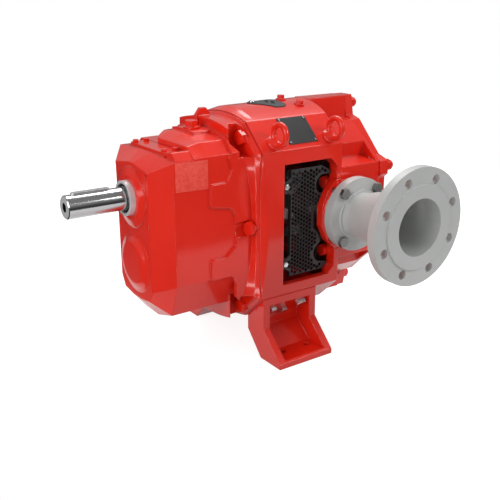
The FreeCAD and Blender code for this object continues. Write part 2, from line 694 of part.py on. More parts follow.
def waist_cuts():
    """Hollow along each side between gearbox and lantern, deepest at mid-height."""
    y_in, y_mid, y_out = GEARCASE_HALF_WIDTH + SIDE_STEP, SIDE_HALF_WIDTH - 11.0, SIDE_HALF_WIDTH
    reach = FLARE_TOP + 2.0
    back = X_FLANGE - FLARE_ROOT - 20.0
    wires = []
    for k in range(-3, 4):
        h = reach * k / 3.0
        waist = 1.0 - (k / 3.0) ** 2
        x_in = X_FLANGE - WAIST_FOOT + waist * WAIST_BOW
        x_mid = X_LANTERN - 9.0 + waist * 3.0
        x_out = X_LANTERN + waist * WAIST_REACH
        corners = [(x_in, y_in), (x_mid, y_mid), (x_out, y_out), (x_out, y_out + 15.0),
                   (back, y_out + 15.0), (back, y_in)]
        points = [V(x, -y, AXIS_HEIGHT + h) for x, y in corners]
        wires.append(Part.makePolygon(points + points[:1]))
    near = Part.makeLoft(wires, True, False)
    return [near, far_copy(near)]


def gearbox_housing():
    body = gearcase_body().fuse(gearbox_bosses())
    body = body.cut(waist_cuts() + corner_pockets())
    body = body.fuse([gearbox_lug()] + side_tongues() + roof_skin()).cut(corner_pockets())
    cuts = [capsule(X_WELL, X_LANTERN + 1.0, GEAR_WELL_RADIUS)]
    cuts.append(twin_bore(X_WELL - BEARING_WIDTH - 2.0, X_WELL + 1.0, BEARING_FRONT_OD / 2 + FIT))
    cuts.append(rod_x(X_WELL - BEARING_WIDTH - 7.0, X_WELL, SHAFT_BEARING_FRONT + 7.0, 0, -PITCH_RADIUS))
    cuts.append(rod_x(X_BOSS - 5.0, X_WELL, SEAL_SLEEVE_OD / 2 + FIT, 0.0, PITCH_RADIUS))
    cuts.append(Part.makeBox(HATCH_LENGTH * 0.5, HATCH_HALF_WIDTH, 40.0,
                             V(X_HATCH - HATCH_LENGTH * 0.25, -HATCH_HALF_WIDTH / 2,
                               AXIS_HEIGHT + LOW_ROOF_Z - 30.0)))
    for seat, direction in flange_bolt_seats():
        cuts.append(Part.makeCylinder(SIDE_BOLT_POCKET, FLARE_ROOT, seat, direction))
    cuts += bolt_holes(FLANGE_BOLT, flange_bolt_seats())
    cuts += bolt_holes(HATCH_BOLT, hatch_bolt_seats())
    cuts.append(Part.makeCylinder(BREATHER_RADIUS / 2, 60.0, BREATHER_PLACE - V(0, 0, 40.0)))
    for y, h in NOSE_HOLES:
        cuts.append(rod_x(X_NOSE - 1.0, X_NOSE + NOSE_HOLE_DEPTH, NOSE_HOLE_RADIUS, y, h))
    return body.cut(cuts).removeSplitter()


def inspection_cover():
    x0 = X_HIGH - HATCH_LENGTH - 2.0
    z0 = AXIS_HEIGHT + LOW_ROOF_Z
    plate = Part.makeBox(HATCH_LENGTH, 2 * HATCH_HALF_WIDTH, HATCH_THICKNESS,
                         V(x0, -HATCH_HALF_WIDTH, z0))
    corners = [e for e in plate.Edges if abs(e.tangentAt(e.FirstParameter).z) > 0.9]
    plate = plate.makeFillet(5.0, corners)
    return plate.cut(bolt_holes(HATCH_BOLT, hatch_bolt_seats()))


def breather_plug():
    """Hexagon plug with a flange and a vented cap, screwed into the gearbox roof."""
    washer = Part.makeCylinder(BREATHER_RADIUS, WASHER, BREATHER_PLACE)
    head = hexagon(BREATHER_HEX, BREATHER_HEIGHT)
    head = turned(head, BREATHER_PLACE + V(0, 0, WASHER), V(0, 0, 1))
    thread = Part.makeCylinder(BREATHER_RADIUS / 2 - FIT, 14.0, BREATHER_PLACE - V(0, 0, 14.0))
    return washer.fuse([head, thread])


def shaft_seal_sleeve():
    """Bright steel sleeve pressed into the nose; it carries the lip seal of the drive shaft."""
    x0 = X_BOSS - SEAL_SLEEVE_REACH
    return ring_x(x0, X_BOSS + 16.0, SEAL_SLEEVE_OD / 2, SEAL_SLEEVE_ID / 2, PITCH_RADIUS)


def shaft_lip_seal():
    x0 = X_BOSS - SEAL_SLEEVE_REACH + 4.0
    return ring_x(x0, x0 + 10.0, SEAL_SLEEVE_ID / 2 - FIT, SHAFT_BEARING_FRONT + FIT, PITCH_RADIUS)


# Lantern between gearbox and casing

def lantern_window(side):
    """Side window; the notch in its front end gives room for the casing screws."""
    corner = WINDOW_CORNER
    outline = [(-WINDOW_REAR, -WINDOW_BOTTOM), (-WINDOW_REAR, WINDOW_TOP),
               (-WINDOW_FRONT - corner, WINDOW_TOP), (-WINDOW_FRONT, WINDOW_TOP - corner),
               (-WINDOW_FRONT, corner - WINDOW_BOTTOM), (-WINDOW_FRONT - corner, -WINDOW_BOTTOM)]
    deep = SIDE_HALF_WIDTH - WINDOW_DEPTH
    near = prism_y(outline, -SIDE_HALF_WIDTH - 1.0, -deep)
    return near if side < 0 else far_copy(near)


def pad_outline(clearance):
    """Octagonal seat of a port spool, open towards the casing."""
    c = clearance
    upper = [(-CASING_REAR + 1.0, PAD_TOP + c), (-WINDOW_FRONT - c, PAD_TOP + c),
             (-PAD_SHOULDER_X - c, PAD_SHOULDER + c), (-PAD_REACH - c, PAD_FLAT + c)]
    return upper + [(x, -h) for x, h in reversed(upper)]


def guard_brackets():
    """Lugs inside the window's rear edge that the guard ears are screwed to."""
    wall = PORT_X - WINDOW_REAR
    pieces = []
    for h in (GUARD_EAR_TOP, -GUARD_EAR_BOTTOM):
        z = AXIS_HEIGHT + h - 9.0
        root = Part.makeBox(14.0, 14.0, 18.0, V(wall - 13.0, LANTERN_WALL - SIDE_HALF_WIDTH - 1.0, z))
        lug = Part.makeBox(37.0, 12.0, 18.0, V(wall - 13.0, -GUARD_Y, z))
        pieces += [root, lug, far_copy(root), far_copy(lug)]
    return pieces


def roof_layer(inset):
    """The lantern's block between its end stations, shrunk by an inset; negative grows it."""
    return housing_block([(X_LANTERN + CROWN_RUN, CROWN_REAR_Z, inset), (X_CASING, RIDGE_Z, inset)])


def roof_guard_outline(grow):
    """Long octagon of the roof opening, its rear end drawn in; x counts from the port axis."""
    half = ROOF_WINDOW_HALF + grow
    rear = -ROOF_WINDOW_REAR - grow
    front = -ROOF_WINDOW_FRONT + grow
    return [(rear, -7.0), (rear + 36.0, -half), (front - 8.0, -half), (front, 10.0 - half),
            (front, half - 10.0), (front - 8.0, half), (rear + 36.0, half), (rear, 7.0)]


def intermediate_housing():
    body = housing_block([(X_LANTERN, CROWN_END_Z, 0.0), (X_LANTERN + CROWN_RUN, CROWN_REAR_Z, 0.0),
                          (X_CASING, RIDGE_Z, 0.0)])
    hollow = housing_block([(X_LANTERN + REAR_WALL, CROWN_REAR_Z, LANTERN_WALL),
                            (X_CASING - FRONT_WALL, RIDGE_Z, LANTERN_WALL)])
    body = body.cut(hollow)
    cuts = [lantern_window(-1), lantern_window(1)] + waist_cuts()
    plate_y = SIDE_HALF_WIDTH - PAD_PLATE - RUNNING
    pad = prism_y(pad_outline(RUNNING), -SIDE_HALF_WIDTH - 1.0, -plate_y)
    neck = rod_y(-SIDE_HALF_WIDTH, SIDE_HALF_WIDTH, PORT_NECK_RADIUS + RUNNING, 0.0, 0.0)
    cuts += [pad, far_copy(pad), neck]
    cuts.append(capsule(X_CASING - FRONT_WALL - 1.0, X_CASING + 1.0, SPIGOT_RADIUS + RUNNING))
    rear = X_LANTERN
    cuts.append(twin_bore(rear - 1.0, rear + BEARING_WIDTH + 2.0, BEARING_REAR_OD / 2 + FIT))
    cuts.append(twin_bore(rear, rear + REAR_WALL + 1.0, SHAFT_BODY + 9.0))
    seat = prism_z(roof_guard_outline(0.5), ROOF_EDGE_Z - 10.0, RIDGE_Z + 1.0)
    cuts.append(seat.cut(roof_layer(ROOF_GUARD_SINK)))
    cuts.append(prism_z(roof_guard_outline(-9.0), ROOF_EDGE_Z - 20.0, RIDGE_Z + 1.0))
    for seat, direction in roof_plug_seats():
        cuts.append(Part.makeCylinder(PLUG_RADIUS + FIT, 5.0, seat, direction))
    body = body.cut(cuts)
    body = body.fuse(guard_brackets())
    holes = bolt_holes(FLANGE_BOLT, flange_bolt_seats()) + bolt_holes(CASING_BOLT, casing_bolt_seats())
    holes += bolt_holes(FOOT_BOLT, foot_bolt_seats(-1)) + bolt_holes(FOOT_BOLT, foot_bolt_seats(1))
    for seat, direction in guard_screw_seats():
        holes.append(Part.makeCylinder(3.0 + FIT, 14.0, seat, -direction))
    for seat, direction in eye_seats():
        holes.append(Part.makeCylinder(EYE_SHANK + FIT, EYE_SHANK_LENGTH + 1.0, seat, -direction))
    for seat, direction in roof_plug_seats():
        holes.append(Part.makeCylinder(5.0 + FIT, 13.0, seat, -direction))
    return body.cut(holes).removeSplitter()


# Guards

def honeycomb(inside, across_flats, height, base):
    """Hexagonal holes in rows over a test of where a hole may sit."""
    cells = []
    row_step = GUARD_PITCH * math.sqrt(3) / 2
    rows = int(2 * WINDOW_BOTTOM / row_step)
    for i in range(-rows, rows + 1):
        for j in range(-rows, rows + 1):
            u = GUARD_PITCH * (j + 0.5 * (i % 2))
            v = row_step * i
            if inside(u, v):
                cell = hexagon(across_flats, height)
                cell.rotate(V(0, 0, 0), V(0, 0, 1), 30)
                cell.translate(base + V(u, v, 0))
                cells.append(cell)
    return cells


def side_guard_outline():
    """Plate with two ears at the rear and a scalloped front edge around the pad."""
    rear, front = -GUARD_REAR, -GUARD_FRONT
    middle = (GUARD_TOP - GUARD_BOTTOM) / 2
    outline = [(rear, -GUARD_BOTTOM), (rear, GUARD_TOP), (front - 12.0, GUARD_TOP), (front, GUARD_TOP - 10.0)]
    outline += [(front, CASING_BOLT_TOP + 19.0), (front - 22.0, CASING_BOLT_TOP + 15.0)]
    outline += [(front - 28.0, CASING_BOLT_TOP), (front - 18.0, CASING_BOLT_TOP - 16.0)]
    outline += [(front - 36.0, middle + 18.0), (front - 36.0, middle - 18.0)]
    outline += [(front - 18.0, 16.0 - CASING_BOLT_BOTTOM), (front - 28.0, -CASING_BOLT_BOTTOM)]
    outline += [(front - 22.0, -CASING_BOLT_BOTTOM - 15.0), (front, -CASING_BOLT_BOTTOM - 19.0)]
    outline += [(front, -GUARD_BOTTOM)]
    return outline


def side_guard():
    y0 = -GUARD_Y - GUARD_THICKNESS
    plate = prism_y(side_guard_outline(), y0, -GUARD_Y)
    ears = []
    for h in (GUARD_EAR_TOP, -GUARD_EAR_BOTTOM):
        ears.append(rod_y(y0, -GUARD_Y, GUARD_EAR, -GUARD_REAR - GUARD_EAR, h))
        ears.append(Part.makeBox(GUARD_EAR + 2.0, GUARD_THICKNESS, GUARD_EAR_HEIGHT,
                                 V(PORT_X - GUARD_REAR - GUARD_EAR, y0,
                                   AXIS_HEIGHT + h - GUARD_EAR_HEIGHT / 2)))
    plate = plate.fuse(ears).removeSplitter()
    inner = Part.makePolygon([V(x, h, 0) for x, h in side_guard_outline() + side_guard_outline()[:1]])
    field = Part.Face(inner.makeOffset2D(-GUARD_BORDER, 2))
    cells = honeycomb(lambda u, v: field.isInside(V(u, v, 0), 0.01, True), GUARD_HOLE, 20.0, V(0, 0, 0))
    turned_cells = []
    for cell in cells:
        cell.rotate(V(0, 0, 0), V(1, 0, 0), 90)
        cell.translate(V(PORT_X, -GUARD_Y + 8.0, AXIS_HEIGHT))
        turned_cells.append(cell)
    screws = [Part.makeCylinder(3.0 + FIT, 14.0, seat + direction, -direction)
              for seat, direction in guard_screw_seats()[:2]]
    seat = prism_y(pad_outline(3.0), y0 - 1.0, 1.0 - GUARD_Y)
    return plate.cut(turned_cells + screws + [seat])


def guard_screw_seats():
    """Two button-head screws per side guard, near side first, then one on the roof guard."""
    seats = []
    for side in (-1, 1):
        for h in (GUARD_EAR_TOP, -GUARD_EAR_BOTTOM):
            y = side * (GUARD_Y + GUARD_THICKNESS)
            seats.append((V(PORT_X - GUARD_REAR - GUARD_EAR, y, AXIS_HEIGHT + h), V(0, side, 0)))
    x = PORT_X - ROOF_WINDOW_REAR + SCREW_HEAD + 2.0
    z = roof_height(x - PORT_X, SCREW_HEAD) + GUARD_THICKNESS - ROOF_GUARD_SINK
    seats.append((V(x, 0.0, AXIS_HEIGHT + z), V(0, 0, 1)))
    return seats


def button_screw(seat, direction):
    head = Part.makeCylinder(SCREW_HEAD, SCREW_HEAD_HEIGHT)
    rim = [e for e in head.Edges if e.BoundBox.ZMin > SCREW_HEAD_HEIGHT - 0.1]
    head = head.makeFillet(SCREW_HEAD_HEIGHT * 0.6, rim)
    body = head.fuse(Part.makeCylinder(3.0, 10.0, V(0, 0, -10.0)))
    return turned(body, seat, direction)


def guard_screws():
    return Part.makeCompound([button_screw(seat, direction) for seat, direction in guard_screw_seats()])


def roof_guard():
    """Perforated plate bent to the arch of the roof, standing a little proud of it."""
    plate = prism_z(roof_guard_outline(0.0), ROOF_EDGE_Z - 10.0, RIDGE_Z + 10.0)
    plate = plate.common(roof_layer(ROOF_GUARD_SINK - GUARD_THICKNESS)).cut(roof_layer(ROOF_GUARD_SINK))
    middle = -(ROOF_WINDOW_REAR + ROOF_WINDOW_FRONT) / 2 + 10.0
    reach_x = (ROOF_WINDOW_REAR - ROOF_WINDOW_FRONT) / 2 - 22.0
    reach_y = ROOF_WINDOW_HALF - 13.0
    base = V(PORT_X + middle, 0, AXIS_HEIGHT + ROOF_EDGE_Z)
    cells = honeycomb(lambda u, v: abs(u) < reach_x and abs(v) < reach_y, GUARD_HOLE, 40.0, base)
    seat, direction = guard_screw_seats()[-1]
    cells.append(Part.makeCylinder(SCREW_HEAD + FIT, GUARD_THICKNESS, seat, direction))
    return plate.cut(cells + [Part.makeCylinder(3.0 + FIT, 14.0, seat + direction, -direction)])


def roof_plug_seats():
    """Two plugs of the lantern's quench fluid, one on the crown and one on the near slope."""
    x, y = -62.0, -41.0
    fall = roof_height(x, y + 1.0) - roof_height(x, y)
    slope = V(0, -fall, 1.0)
    slope.normalize()
    seat = V(PORT_X + x, y, AXIS_HEIGHT + roof_height(x, y)) - slope * PLUG_SINK
    crown = roof_height(-76.0, 0.0) - PLUG_SINK
    return [(V(PORT_X - 76.0, 0.0, AXIS_HEIGHT + crown), V(0, 0, 1)), (seat, slope)]


def roof_plugs():
    plugs = []
    for seat, direction in roof_plug_seats():
        plug = Part.makeCylinder(PLUG_RADIUS, WASHER)
        head = hexagon(13.0, 7.0)
        head.translate(V(0, 0, WASHER))
        plug = plug.fuse([head, Part.makeCylinder(5.0, 12.0, V(0, 0, -12.0))])
        plugs.append(turned(plug, seat, direction))
    return Part.makeCompound(plugs)


# Nameplate and lifting eyes on the near upper bevel

def bevel_point(x, share):
    """Point on the near upper bevel; share runs from its lower edge to the roof edge."""
    y = -SIDE_HALF_WIDTH + share * (SIDE_HALF_WIDTH - ROOF_EDGE_Y)
    h = SIDE_HALF_HEIGHT + share * (ROOF_EDGE_Z - SIDE_HALF_HEIGHT)
    return V(PORT_X + x, y, AXIS_HEIGHT + h)


def bevel_normal():
    normal = V(0, -(ROOF_EDGE_Z - SIDE_HALF_HEIGHT), SIDE_HALF_WIDTH - ROOF_EDGE_Y)
    return normal.normalize()


def nameplate_corners():
    low, high = 0.14, 0.97
    return [bevel_point(-PLATE_REAR, low), bevel_point(-PLATE_FRONT, low),
            bevel_point(-PLATE_FRONT, high), bevel_point(-PLATE_REAR, high)]


def rivet_places():
    corners = nameplate_corners()
    centre = (corners[0] + corners[2]) * 0.5
    places = []
    for corner in corners:
        inward = centre - corner
        places.append(corner + inward * (1.4 * PLATE_MARGIN / inward.Length))
    return places


def nameplate():
    corners = nameplate_corners()
    plate = Part.Face(Part.makePolygon(corners + corners[:1])).extrude(bevel_normal() * PLATE_THICKNESS)
    holes = [Part.makeCylinder(RIVET_RADIUS * 0.6, 8.0, place - bevel_normal() * 2.0, bevel_normal())
             for place in rivet_places()]
    return plate.cut(holes)


def nameplate_rivets():
    rivets = []
    for place in rivet_places():
        head = Part.makeCylinder(RIVET_RADIUS, 1.2)
        head = head.fuse(Part.makeCylinder(RIVET_RADIUS * 0.5, PLATE_THICKNESS, V(0, 0, -PLATE_THICKNESS)))
        rivets.append(turned(head, place + bevel_normal() * PLATE_THICKNESS, bevel_normal()))
    return Part.makeCompound(rivets)


def eye_seats():
    return [(bevel_point(-x, EYE_BEVEL), bevel_normal()) for x in (EYE_REAR_X, EYE_FRONT_X)]


def eye_bolts():
    """Forged lifting eyes: a ring on a collar, screwed square into the bevel."""
    eyes = []
    for seat, direction in eye_seats():
        reach = EYE_COLLAR_HEIGHT + EYE_RING_RADIUS - 2.0
        ring = Part.makeTorus(EYE_RING_RADIUS, EYE_WIRE, V(0, 0, reach), V(1, 0, 0))
        collar = Part.makeCone(EYE_COLLAR, EYE_COLLAR - 5.0, EYE_COLLAR_HEIGHT)
        shank = Part.makeCylinder(EYE_SHANK, EYE_SHANK_LENGTH, V(0, 0, -EYE_SHANK_LENGTH))
        eyes.append(turned(ring.fuse([collar, shank]), seat, direction))
    return Part.makeCompound(eyes)


# Rotor casing and cover

def port_passage():
    """Round at the spool, drawn towards the rotors at the inner end."""
    outer = Part.Wire(Part.makeCircle(PORT_BORE_SMALL / 2, V(PORT_X, -PORT_SEAT_Y - 1.0, AXIS_HEIGHT),
                                      V(0, 1, 0)))
    inner = Part.Wire(Part.makeCircle(PORT_THROAT / 2, V(PORT_X + PORT_THROAT_SHIFT, -30.0, AXIS_HEIGHT),
                                      V(0, 1, 0)))
    return Part.makeLoft([outer, inner], True, True)


def rotor_casing():
    body = prism_x(casing_outline(), X_CASING, X_COVER)
    flange = prism_x(end_flange_outline(), X_COVER - END_FLANGE, X_COVER)
    spigot = capsule(X_CASING - SPIGOT_LENGTH, X_CASING + 1.0, SPIGOT_RADIUS)
    pad = prism_y(pad_outline(0.0), -SIDE_HALF_WIDTH, PAD_PLATE - SIDE_HALF_WIDTH)
    neck = rod_y(-SIDE_HALF_WIDTH, 20.0 - SPIGOT_RADIUS, PORT_NECK_RADIUS, 0.0, 0.0)
    boss = rod_y(-PORT_SEAT_Y, 1.0 - SIDE_HALF_WIDTH, PORT_BOSS_RADIUS, 0.0, 0.0)
    body = body.fuse([flange, spigot, pad, far_copy(pad), neck, far_copy(neck), boss, far_copy(boss)])
    cuts = [twin_bore(X_CASING, X_COVER + 1.0, CHAMBER_RADIUS)]
    cuts.append(twin_bore(X_CASING - PAD_REACH, X_CASING + 1.0, SEAL_BORE))
    cuts.append(twin_bore(X_CASING - PAD_REACH, X_CASING - SPIGOT_LENGTH, SEAL_FLANGE + RUNNING))
    cuts += [port_passage(), far_copy(port_passage())]
    cuts += bolt_holes(PORT_BOLT, port_bolt_seats(-1)) + bolt_holes(PORT_BOLT, port_bolt_seats(1))
    cuts += bolt_holes(CASING_BOLT, casing_bolt_seats())
    cuts += [rod_x(X_COVER - 30.0, X_COVER + 1.0, STUD_RADIUS + FIT, y, h) for y, h in cover_stud_places()]
    return body.cut(cuts).removeSplitter()


def pump_cover():
    plate = prism_x(cover_outline(), X_COVER, X_COVER_FACE)
    holes = [rod_x(X_COVER - 1.0, X_COVER_FACE + 1.0, STUD_RADIUS + FIT, y, h)
             for y, h in cover_stud_places()]
    panel = capsule(X_COVER_FACE, X_COVER_FACE + COVER_FACE_LIFT, CHAMBER_RADIUS * 0.8)
    return plate.fuse(panel).cut(holes).removeSplitter()


def cover_studs():
    studs = []
    for y, h in cover_stud_places():
        studs.append(rod_x(X_COVER - 28.0, X_COVER_FACE + WASHER + NUT_HEIGHT, STUD_RADIUS, y, h))
    return Part.makeCompound(studs)


def cover_cap_nuts():
    """Domed nuts with a washer face, one on each stud."""
    nuts = []
    for y, h in cover_stud_places():
        seat = V(X_COVER_FACE, y, AXIS_HEIGHT + h)
        washer = Part.makeCylinder(NUT_RADIUS, WASHER)
        hexes = hexagon(NUT_RADIUS * 1.75, NUT_HEIGHT)
        hexes.translate(V(0, 0, WASHER))
        dome = Part.makeSphere(NUT_RADIUS - 2.0, V(0, 0, 0), V(0, 0, 1), 0, 90, 360)
        dome.translate(V(0, 0, WASHER + NUT_HEIGHT))
        bore = Part.makeCylinder(STUD_RADIUS + FIT, WASHER + NUT_HEIGHT + 1.0)
        nuts.append(turned(washer.fuse([hexes, dome]).cut(bore), seat, V(1, 0, 0)))
    return Part.makeCompound(nuts)


def wear_plate(x0, hole):
    plate = twin_bore(x0, x0 + WEAR_PLATE, CHAMBER_RADIUS - RUNNING).removeSplitter()
    if hole:
        plate = plate.cut(twin_bore(x0 - 1.0, x0 + WEAR_PLATE + 1.0, hole))
    return plate


def seal_cartridge(h):
    """Stationary half of a shaft seal, flanged against the casing's back wall."""
    rear = X_CASING - SPIGOT_LENGTH
    body = rod_x(rear, X_CASING + WEAR_PLATE - 1.0, SEAL_BORE - FIT, 0.0, h)
    flange = rod_x(rear - 9.0, rear, SEAL_FLANGE, 0.0, h)
    bore = rod_x(rear - 10.0, X_CASING + WEAR_PLATE, SHAFT_BODY + FIT, 0.0, h)
    return body.fuse(flange).cut(bore)


# Port spools

def flange_holes(y0, y1):
    holes = []
    for k in range(FLANGE_HOLES):
        angle = math.radians(180.0 / FLANGE_HOLES + k * 360.0 / FLANGE_HOLES)
        x = FLANGE_PCD / 2 * math.cos(angle)
        h = PORT_RISE + FLANGE_PCD / 2 * math.sin(angle)
        holes.append(rod_y(y0, y1, FLANGE_HOLE / 2, x, h))
    return holes


def circle_y(radius, y, h):
    return Part.Wire(Part.makeCircle(radius, V(PORT_X, y, AXIS_HEIGHT + h), V(0, 1, 0)))


def port_spool():
    """Flat-bottomed reducer from the casing pad to the line flange, on the near side."""
    seat = -PORT_SEAT_Y - GASKET
    hub_face = seat - SPOOL_HUB_THICKNESS
    back = -PORT_FACE + FLANGE_THICKNESS
    hub = rod_y(hub_face, seat, SPOOL_HUB_RADIUS, 0.0, 0.0)
    ring = rod_y(hub_face - 4.0, hub_face, NECK_SMALL / 2 + 5.0, 0.0, 0.0)
    rise = PORT_RISE
    stations = [(hub_face + 1.0, 0.0, 0.0), (hub_face - 18.0, 0.0, 0.0), (hub_face - 42.0, 0.3, 0.3),
                (back + 40.0, 0.8, 0.8), (back + 18.0, 1.0, 1.0), (back - 1.0, 1.0, 1.0)]
    outer = []
    inner = []
    for y, grow, lift in stations:
        outer.append(circle_y((NECK_SMALL + grow * (NECK_LARGE - NECK_SMALL)) / 2, y, lift * rise))
        inner.append(circle_y((PORT_BORE_SMALL + grow * (FLANGE_BORE - PORT_BORE_SMALL)) / 2, y,
                              lift * rise))
    neck = Part.makeLoft(outer, True, True)
    flange = rod_y(-PORT_FACE + FLANGE_RAISED_HEIGHT, back, FLANGE_OD / 2, 0.0, rise)
    raised = rod_y(-PORT_FACE, back, FLANGE_RAISED / 2, 0.0, rise)
    body = hub.fuse([ring, neck, flange, raised])
    cuts = [Part.makeLoft(inner, True, True)]
    cuts.append(rod_y(hub_face - 1.0, seat + 1.0, PORT_BORE_SMALL / 2, 0.0, 0.0))
    cuts.append(rod_y(-PORT_FACE - 1.0, back + 1.0, FLANGE_BORE / 2, 0.0, rise))
    cuts += flange_holes(-PORT_FACE - 1.0, back + 1.0)
    cuts += bolt_holes(PORT_BOLT, port_bolt_seats(-1))
    return body.cut(cuts).removeSplitter()


def port_gasket():
    y0 = -PORT_SEAT_Y - GASKET
    gasket = rod_y(y0, -PORT_SEAT_Y, PORT_BOSS_RADIUS, 0.0, 0.0)
    gasket = gasket.cut(rod_y(y0 - 1.0, 1.0 - PORT_SEAT_Y, PORT_BORE_SMALL / 2, 0.0, 0.0))
    return gasket.cut(bolt_holes(PORT_BOLT, port_bolt_seats(-1)))


# Shafts, key, gears, rotors and bearing rings

def stepped_shaft(front, h):
    """Turned diameters from the front steps given, over gear and bearings, to the rotor seat."""
    steps = front + [
        (X_WELL, SHAFT_SHOULDER),
        (X_GEAR, SHAFT_GEAR_SEAT),
        (X_GEAR + GEAR_WIDTH + 2.0, SHAFT_BODY),
        (X_CASING + WEAR_PLATE, SHAFT_ROTOR_SEAT),
    ]
    ends = [x for x, radius in steps[1:]] + [X_COVER - WEAR_PLATE - ROTOR_BOLT_DEPTH - 1.0]
    pieces = [rod_x(x, end, radius, 0.0, h) for (x, radius), end in zip(steps, ends)]
    return pieces[0].fuse(pieces[1:]).removeSplitter()


def key_shape(clearance):
    """Round-ended parallel key on top of the shaft extension."""
    half = KEY_WIDTH / 2 + clearance
    x0 = X_SHAFT_END + KEY_SET
    z0 = Z_DRIVE + SHAFT_END_RADIUS - KEY_DEPTH
    bar = Part.makeBox(KEY_LENGTH - KEY_WIDTH, 2 * half, KEY_HEIGHT, V(x0 + KEY_WIDTH / 2, -half, z0))
    ends = [Part.makeCylinder(half, KEY_HEIGHT, V(x, 0, z0))
            for x in (x0 + KEY_WIDTH / 2, x0 + KEY_LENGTH - KEY_WIDTH / 2)]
    return bar.fuse(ends).removeSplitter()


def drive_shaft():
    front = [(X_SHAFT_END, SHAFT_END_RADIUS), (X_SHAFT_END + SHAFT_EXTENSION, SHAFT_BEARING_FRONT)]
    shaft = stepped_shaft(front, PITCH_RADIUS)
    rim = [e for e in shaft.Edges if e.BoundBox.XMax < X_SHAFT_END + 0.1]
    shaft = shaft.makeChamfer(END_CHAMFER, rim)
    centre = rod_x(X_SHAFT_END - 1.0, X_SHAFT_END + CENTRE_DEPTH, CENTRE_HOLE, 0.0, PITCH_RADIUS)
    return shaft.cut([centre, key_shape(FIT), rotor_bolt_bore(PITCH_RADIUS)])


def driven_shaft():
    shaft = stepped_shaft([(X_WELL - BEARING_WIDTH - 5.0, SHAFT_BEARING_FRONT)], -PITCH_RADIUS)
    return shaft.cut(rotor_bolt_bore(-PITCH_RADIUS))


def rotor_bolt_bore(h):
    end = X_COVER - WEAR_PLATE
    return rod_x(end - 48.0, end, 8.0 + FIT, 0.0, h)


def rotor_bolt(h):
    """Pressure disc and screw that clamp a rotor on its seat."""
    end = X_COVER - WEAR_PLATE - 1.0
    disc = rod_x(end - ROTOR_BOLT_DEPTH, end, ROTOR_BOLT_RADIUS, 0.0, h)
    screw = rod_x(end - 44.0, end, 8.0, 0.0, h)
    socket = rod_x(end - 5.0, end + 1.0, 7.0, 0.0, h)
    return disc.fuse(screw).cut(socket)


def lobe_points(samples=8):
    """Cycloidal lobes: tips roll outside the pitch circle, valleys inside it."""
    rolling = PITCH_RADIUS / (2 * ROTOR_LOBES)
    arc = math.pi / ROTOR_LOBES
    points = []
    for k in range(2 * ROTOR_LOBES):
        side = 1 if k % 2 == 0 else -1
        start = math.pi / 2 - arc / 2 + k * arc
        for i in range(samples):
            turn = arc * (i + 0.5) / samples
            phi = start + turn
            roll = start + turn * (PITCH_RADIUS + side * rolling) * side / rolling
            centre = PITCH_RADIUS + side * rolling
            y = centre * math.cos(phi) - side * rolling * math.cos(roll)
            z = centre * math.sin(phi) - side * rolling * math.sin(roll)
            contact_y = PITCH_RADIUS * math.cos(phi)
            contact_z = PITCH_RADIUS * math.sin(phi)
            away = math.hypot(contact_y - y, contact_z - z)
            shrink = side * ROTOR_PROFILE_GAP / away
            points.append((y + shrink * (contact_y - y), z + shrink * (contact_z - z)))
    return points


def rotor(h):
    x0 = X_CASING + WEAR_PLATE + 0.5
    x1 = X_COVER - WEAR_PLATE - 0.5
    curve = Part.BSplineCurve()
    curve.interpolate([V(x0, y, AXIS_HEIGHT + h + z) for y, z in lobe_points()], PeriodicFlag=True)
    body = Part.Face(Part.Wire(curve.toShape())).extrude(V(x1 - x0, 0, 0))
    bore = rod_x(x0 - 1.0, x1 + 1.0, SHAFT_ROTOR_SEAT + FIT, 0.0, h)
    counterbore = rod_x(x1 - ROTOR_BOLT_DEPTH - 0.5, x1 + 1.0, ROTOR_BOLT_RADIUS + FIT, 0.0, h)
    return body.cut([bore, counterbore])


def gear_outline():
    """Involute teeth with flank play; the first tooth points straight up."""
    module = SHAFT_SPACING / TOOTH_COUNT
    pressure = math.radians(PRESSURE_ANGLE)
    base = PITCH_RADIUS * math.cos(pressure)
    tip = PITCH_RADIUS + module
    root = PITCH_RADIUS - 1.25 * module
    half_tooth = (math.pi * module / 2 - BACKLASH) / 2 / PITCH_RADIUS
    half_tooth += math.tan(pressure) - pressure
    flank = []
    for k in range(4):
        radius = base + (tip - base) * k / 3.0
        spread = math.acos(base / radius)
        flank.append((radius, half_tooth - (math.tan(spread) - spread)))
    points = []
    for tooth in range(TOOTH_COUNT):
        centre = math.pi / 2 + 2 * math.pi * tooth / TOOTH_COUNT
        rising = [(root, -flank[0][1])] + [(r, -a) for r, a in flank]
        for radius, angle in rising + [(r, -a) for r, a in reversed(rising)]:
            points.append((radius * math.cos(centre + angle), radius * math.sin(centre + angle)))
    return points


def timing_gear(h):
    outline = [(y, h + z) for y, z in gear_outline()]
    blank = prism_x(outline, X_GEAR + 1.0, X_GEAR + 1.0 + GEAR_WIDTH)
    return blank.cut(rod_x(X_GEAR, X_GEAR + GEAR_WIDTH + 2.0, SHAFT_GEAR_SEAT + FIT, 0.0, h))


def bearing_places(h):
    """Rear face, shaft radius, outside radius of the two bearings of one shaft."""
    return [(X_WELL - BEARING_WIDTH, SHAFT_BEARING_FRONT, BEARING_FRONT_OD / 2, h),
            (X_LANTERN, SHAFT_BODY, BEARING_REAR_OD / 2, h)]


def outer_rings():
    rings = []
    for h in (PITCH_RADIUS, -PITCH_RADIUS):
        for x, inner, outer, height in bearing_places(h):
            ring = ring_x(x, x + BEARING_WIDTH, outer, outer - BEARING_RING, height)
            for face in (x, x + BEARING_WIDTH - 1.0):
                ring = ring.fuse(ring_x(face, face + 1.0, outer, inner + BEARING_RING + RUNNING, height))
            rings.append(ring.removeSplitter())
    return Part.makeCompound(rings)


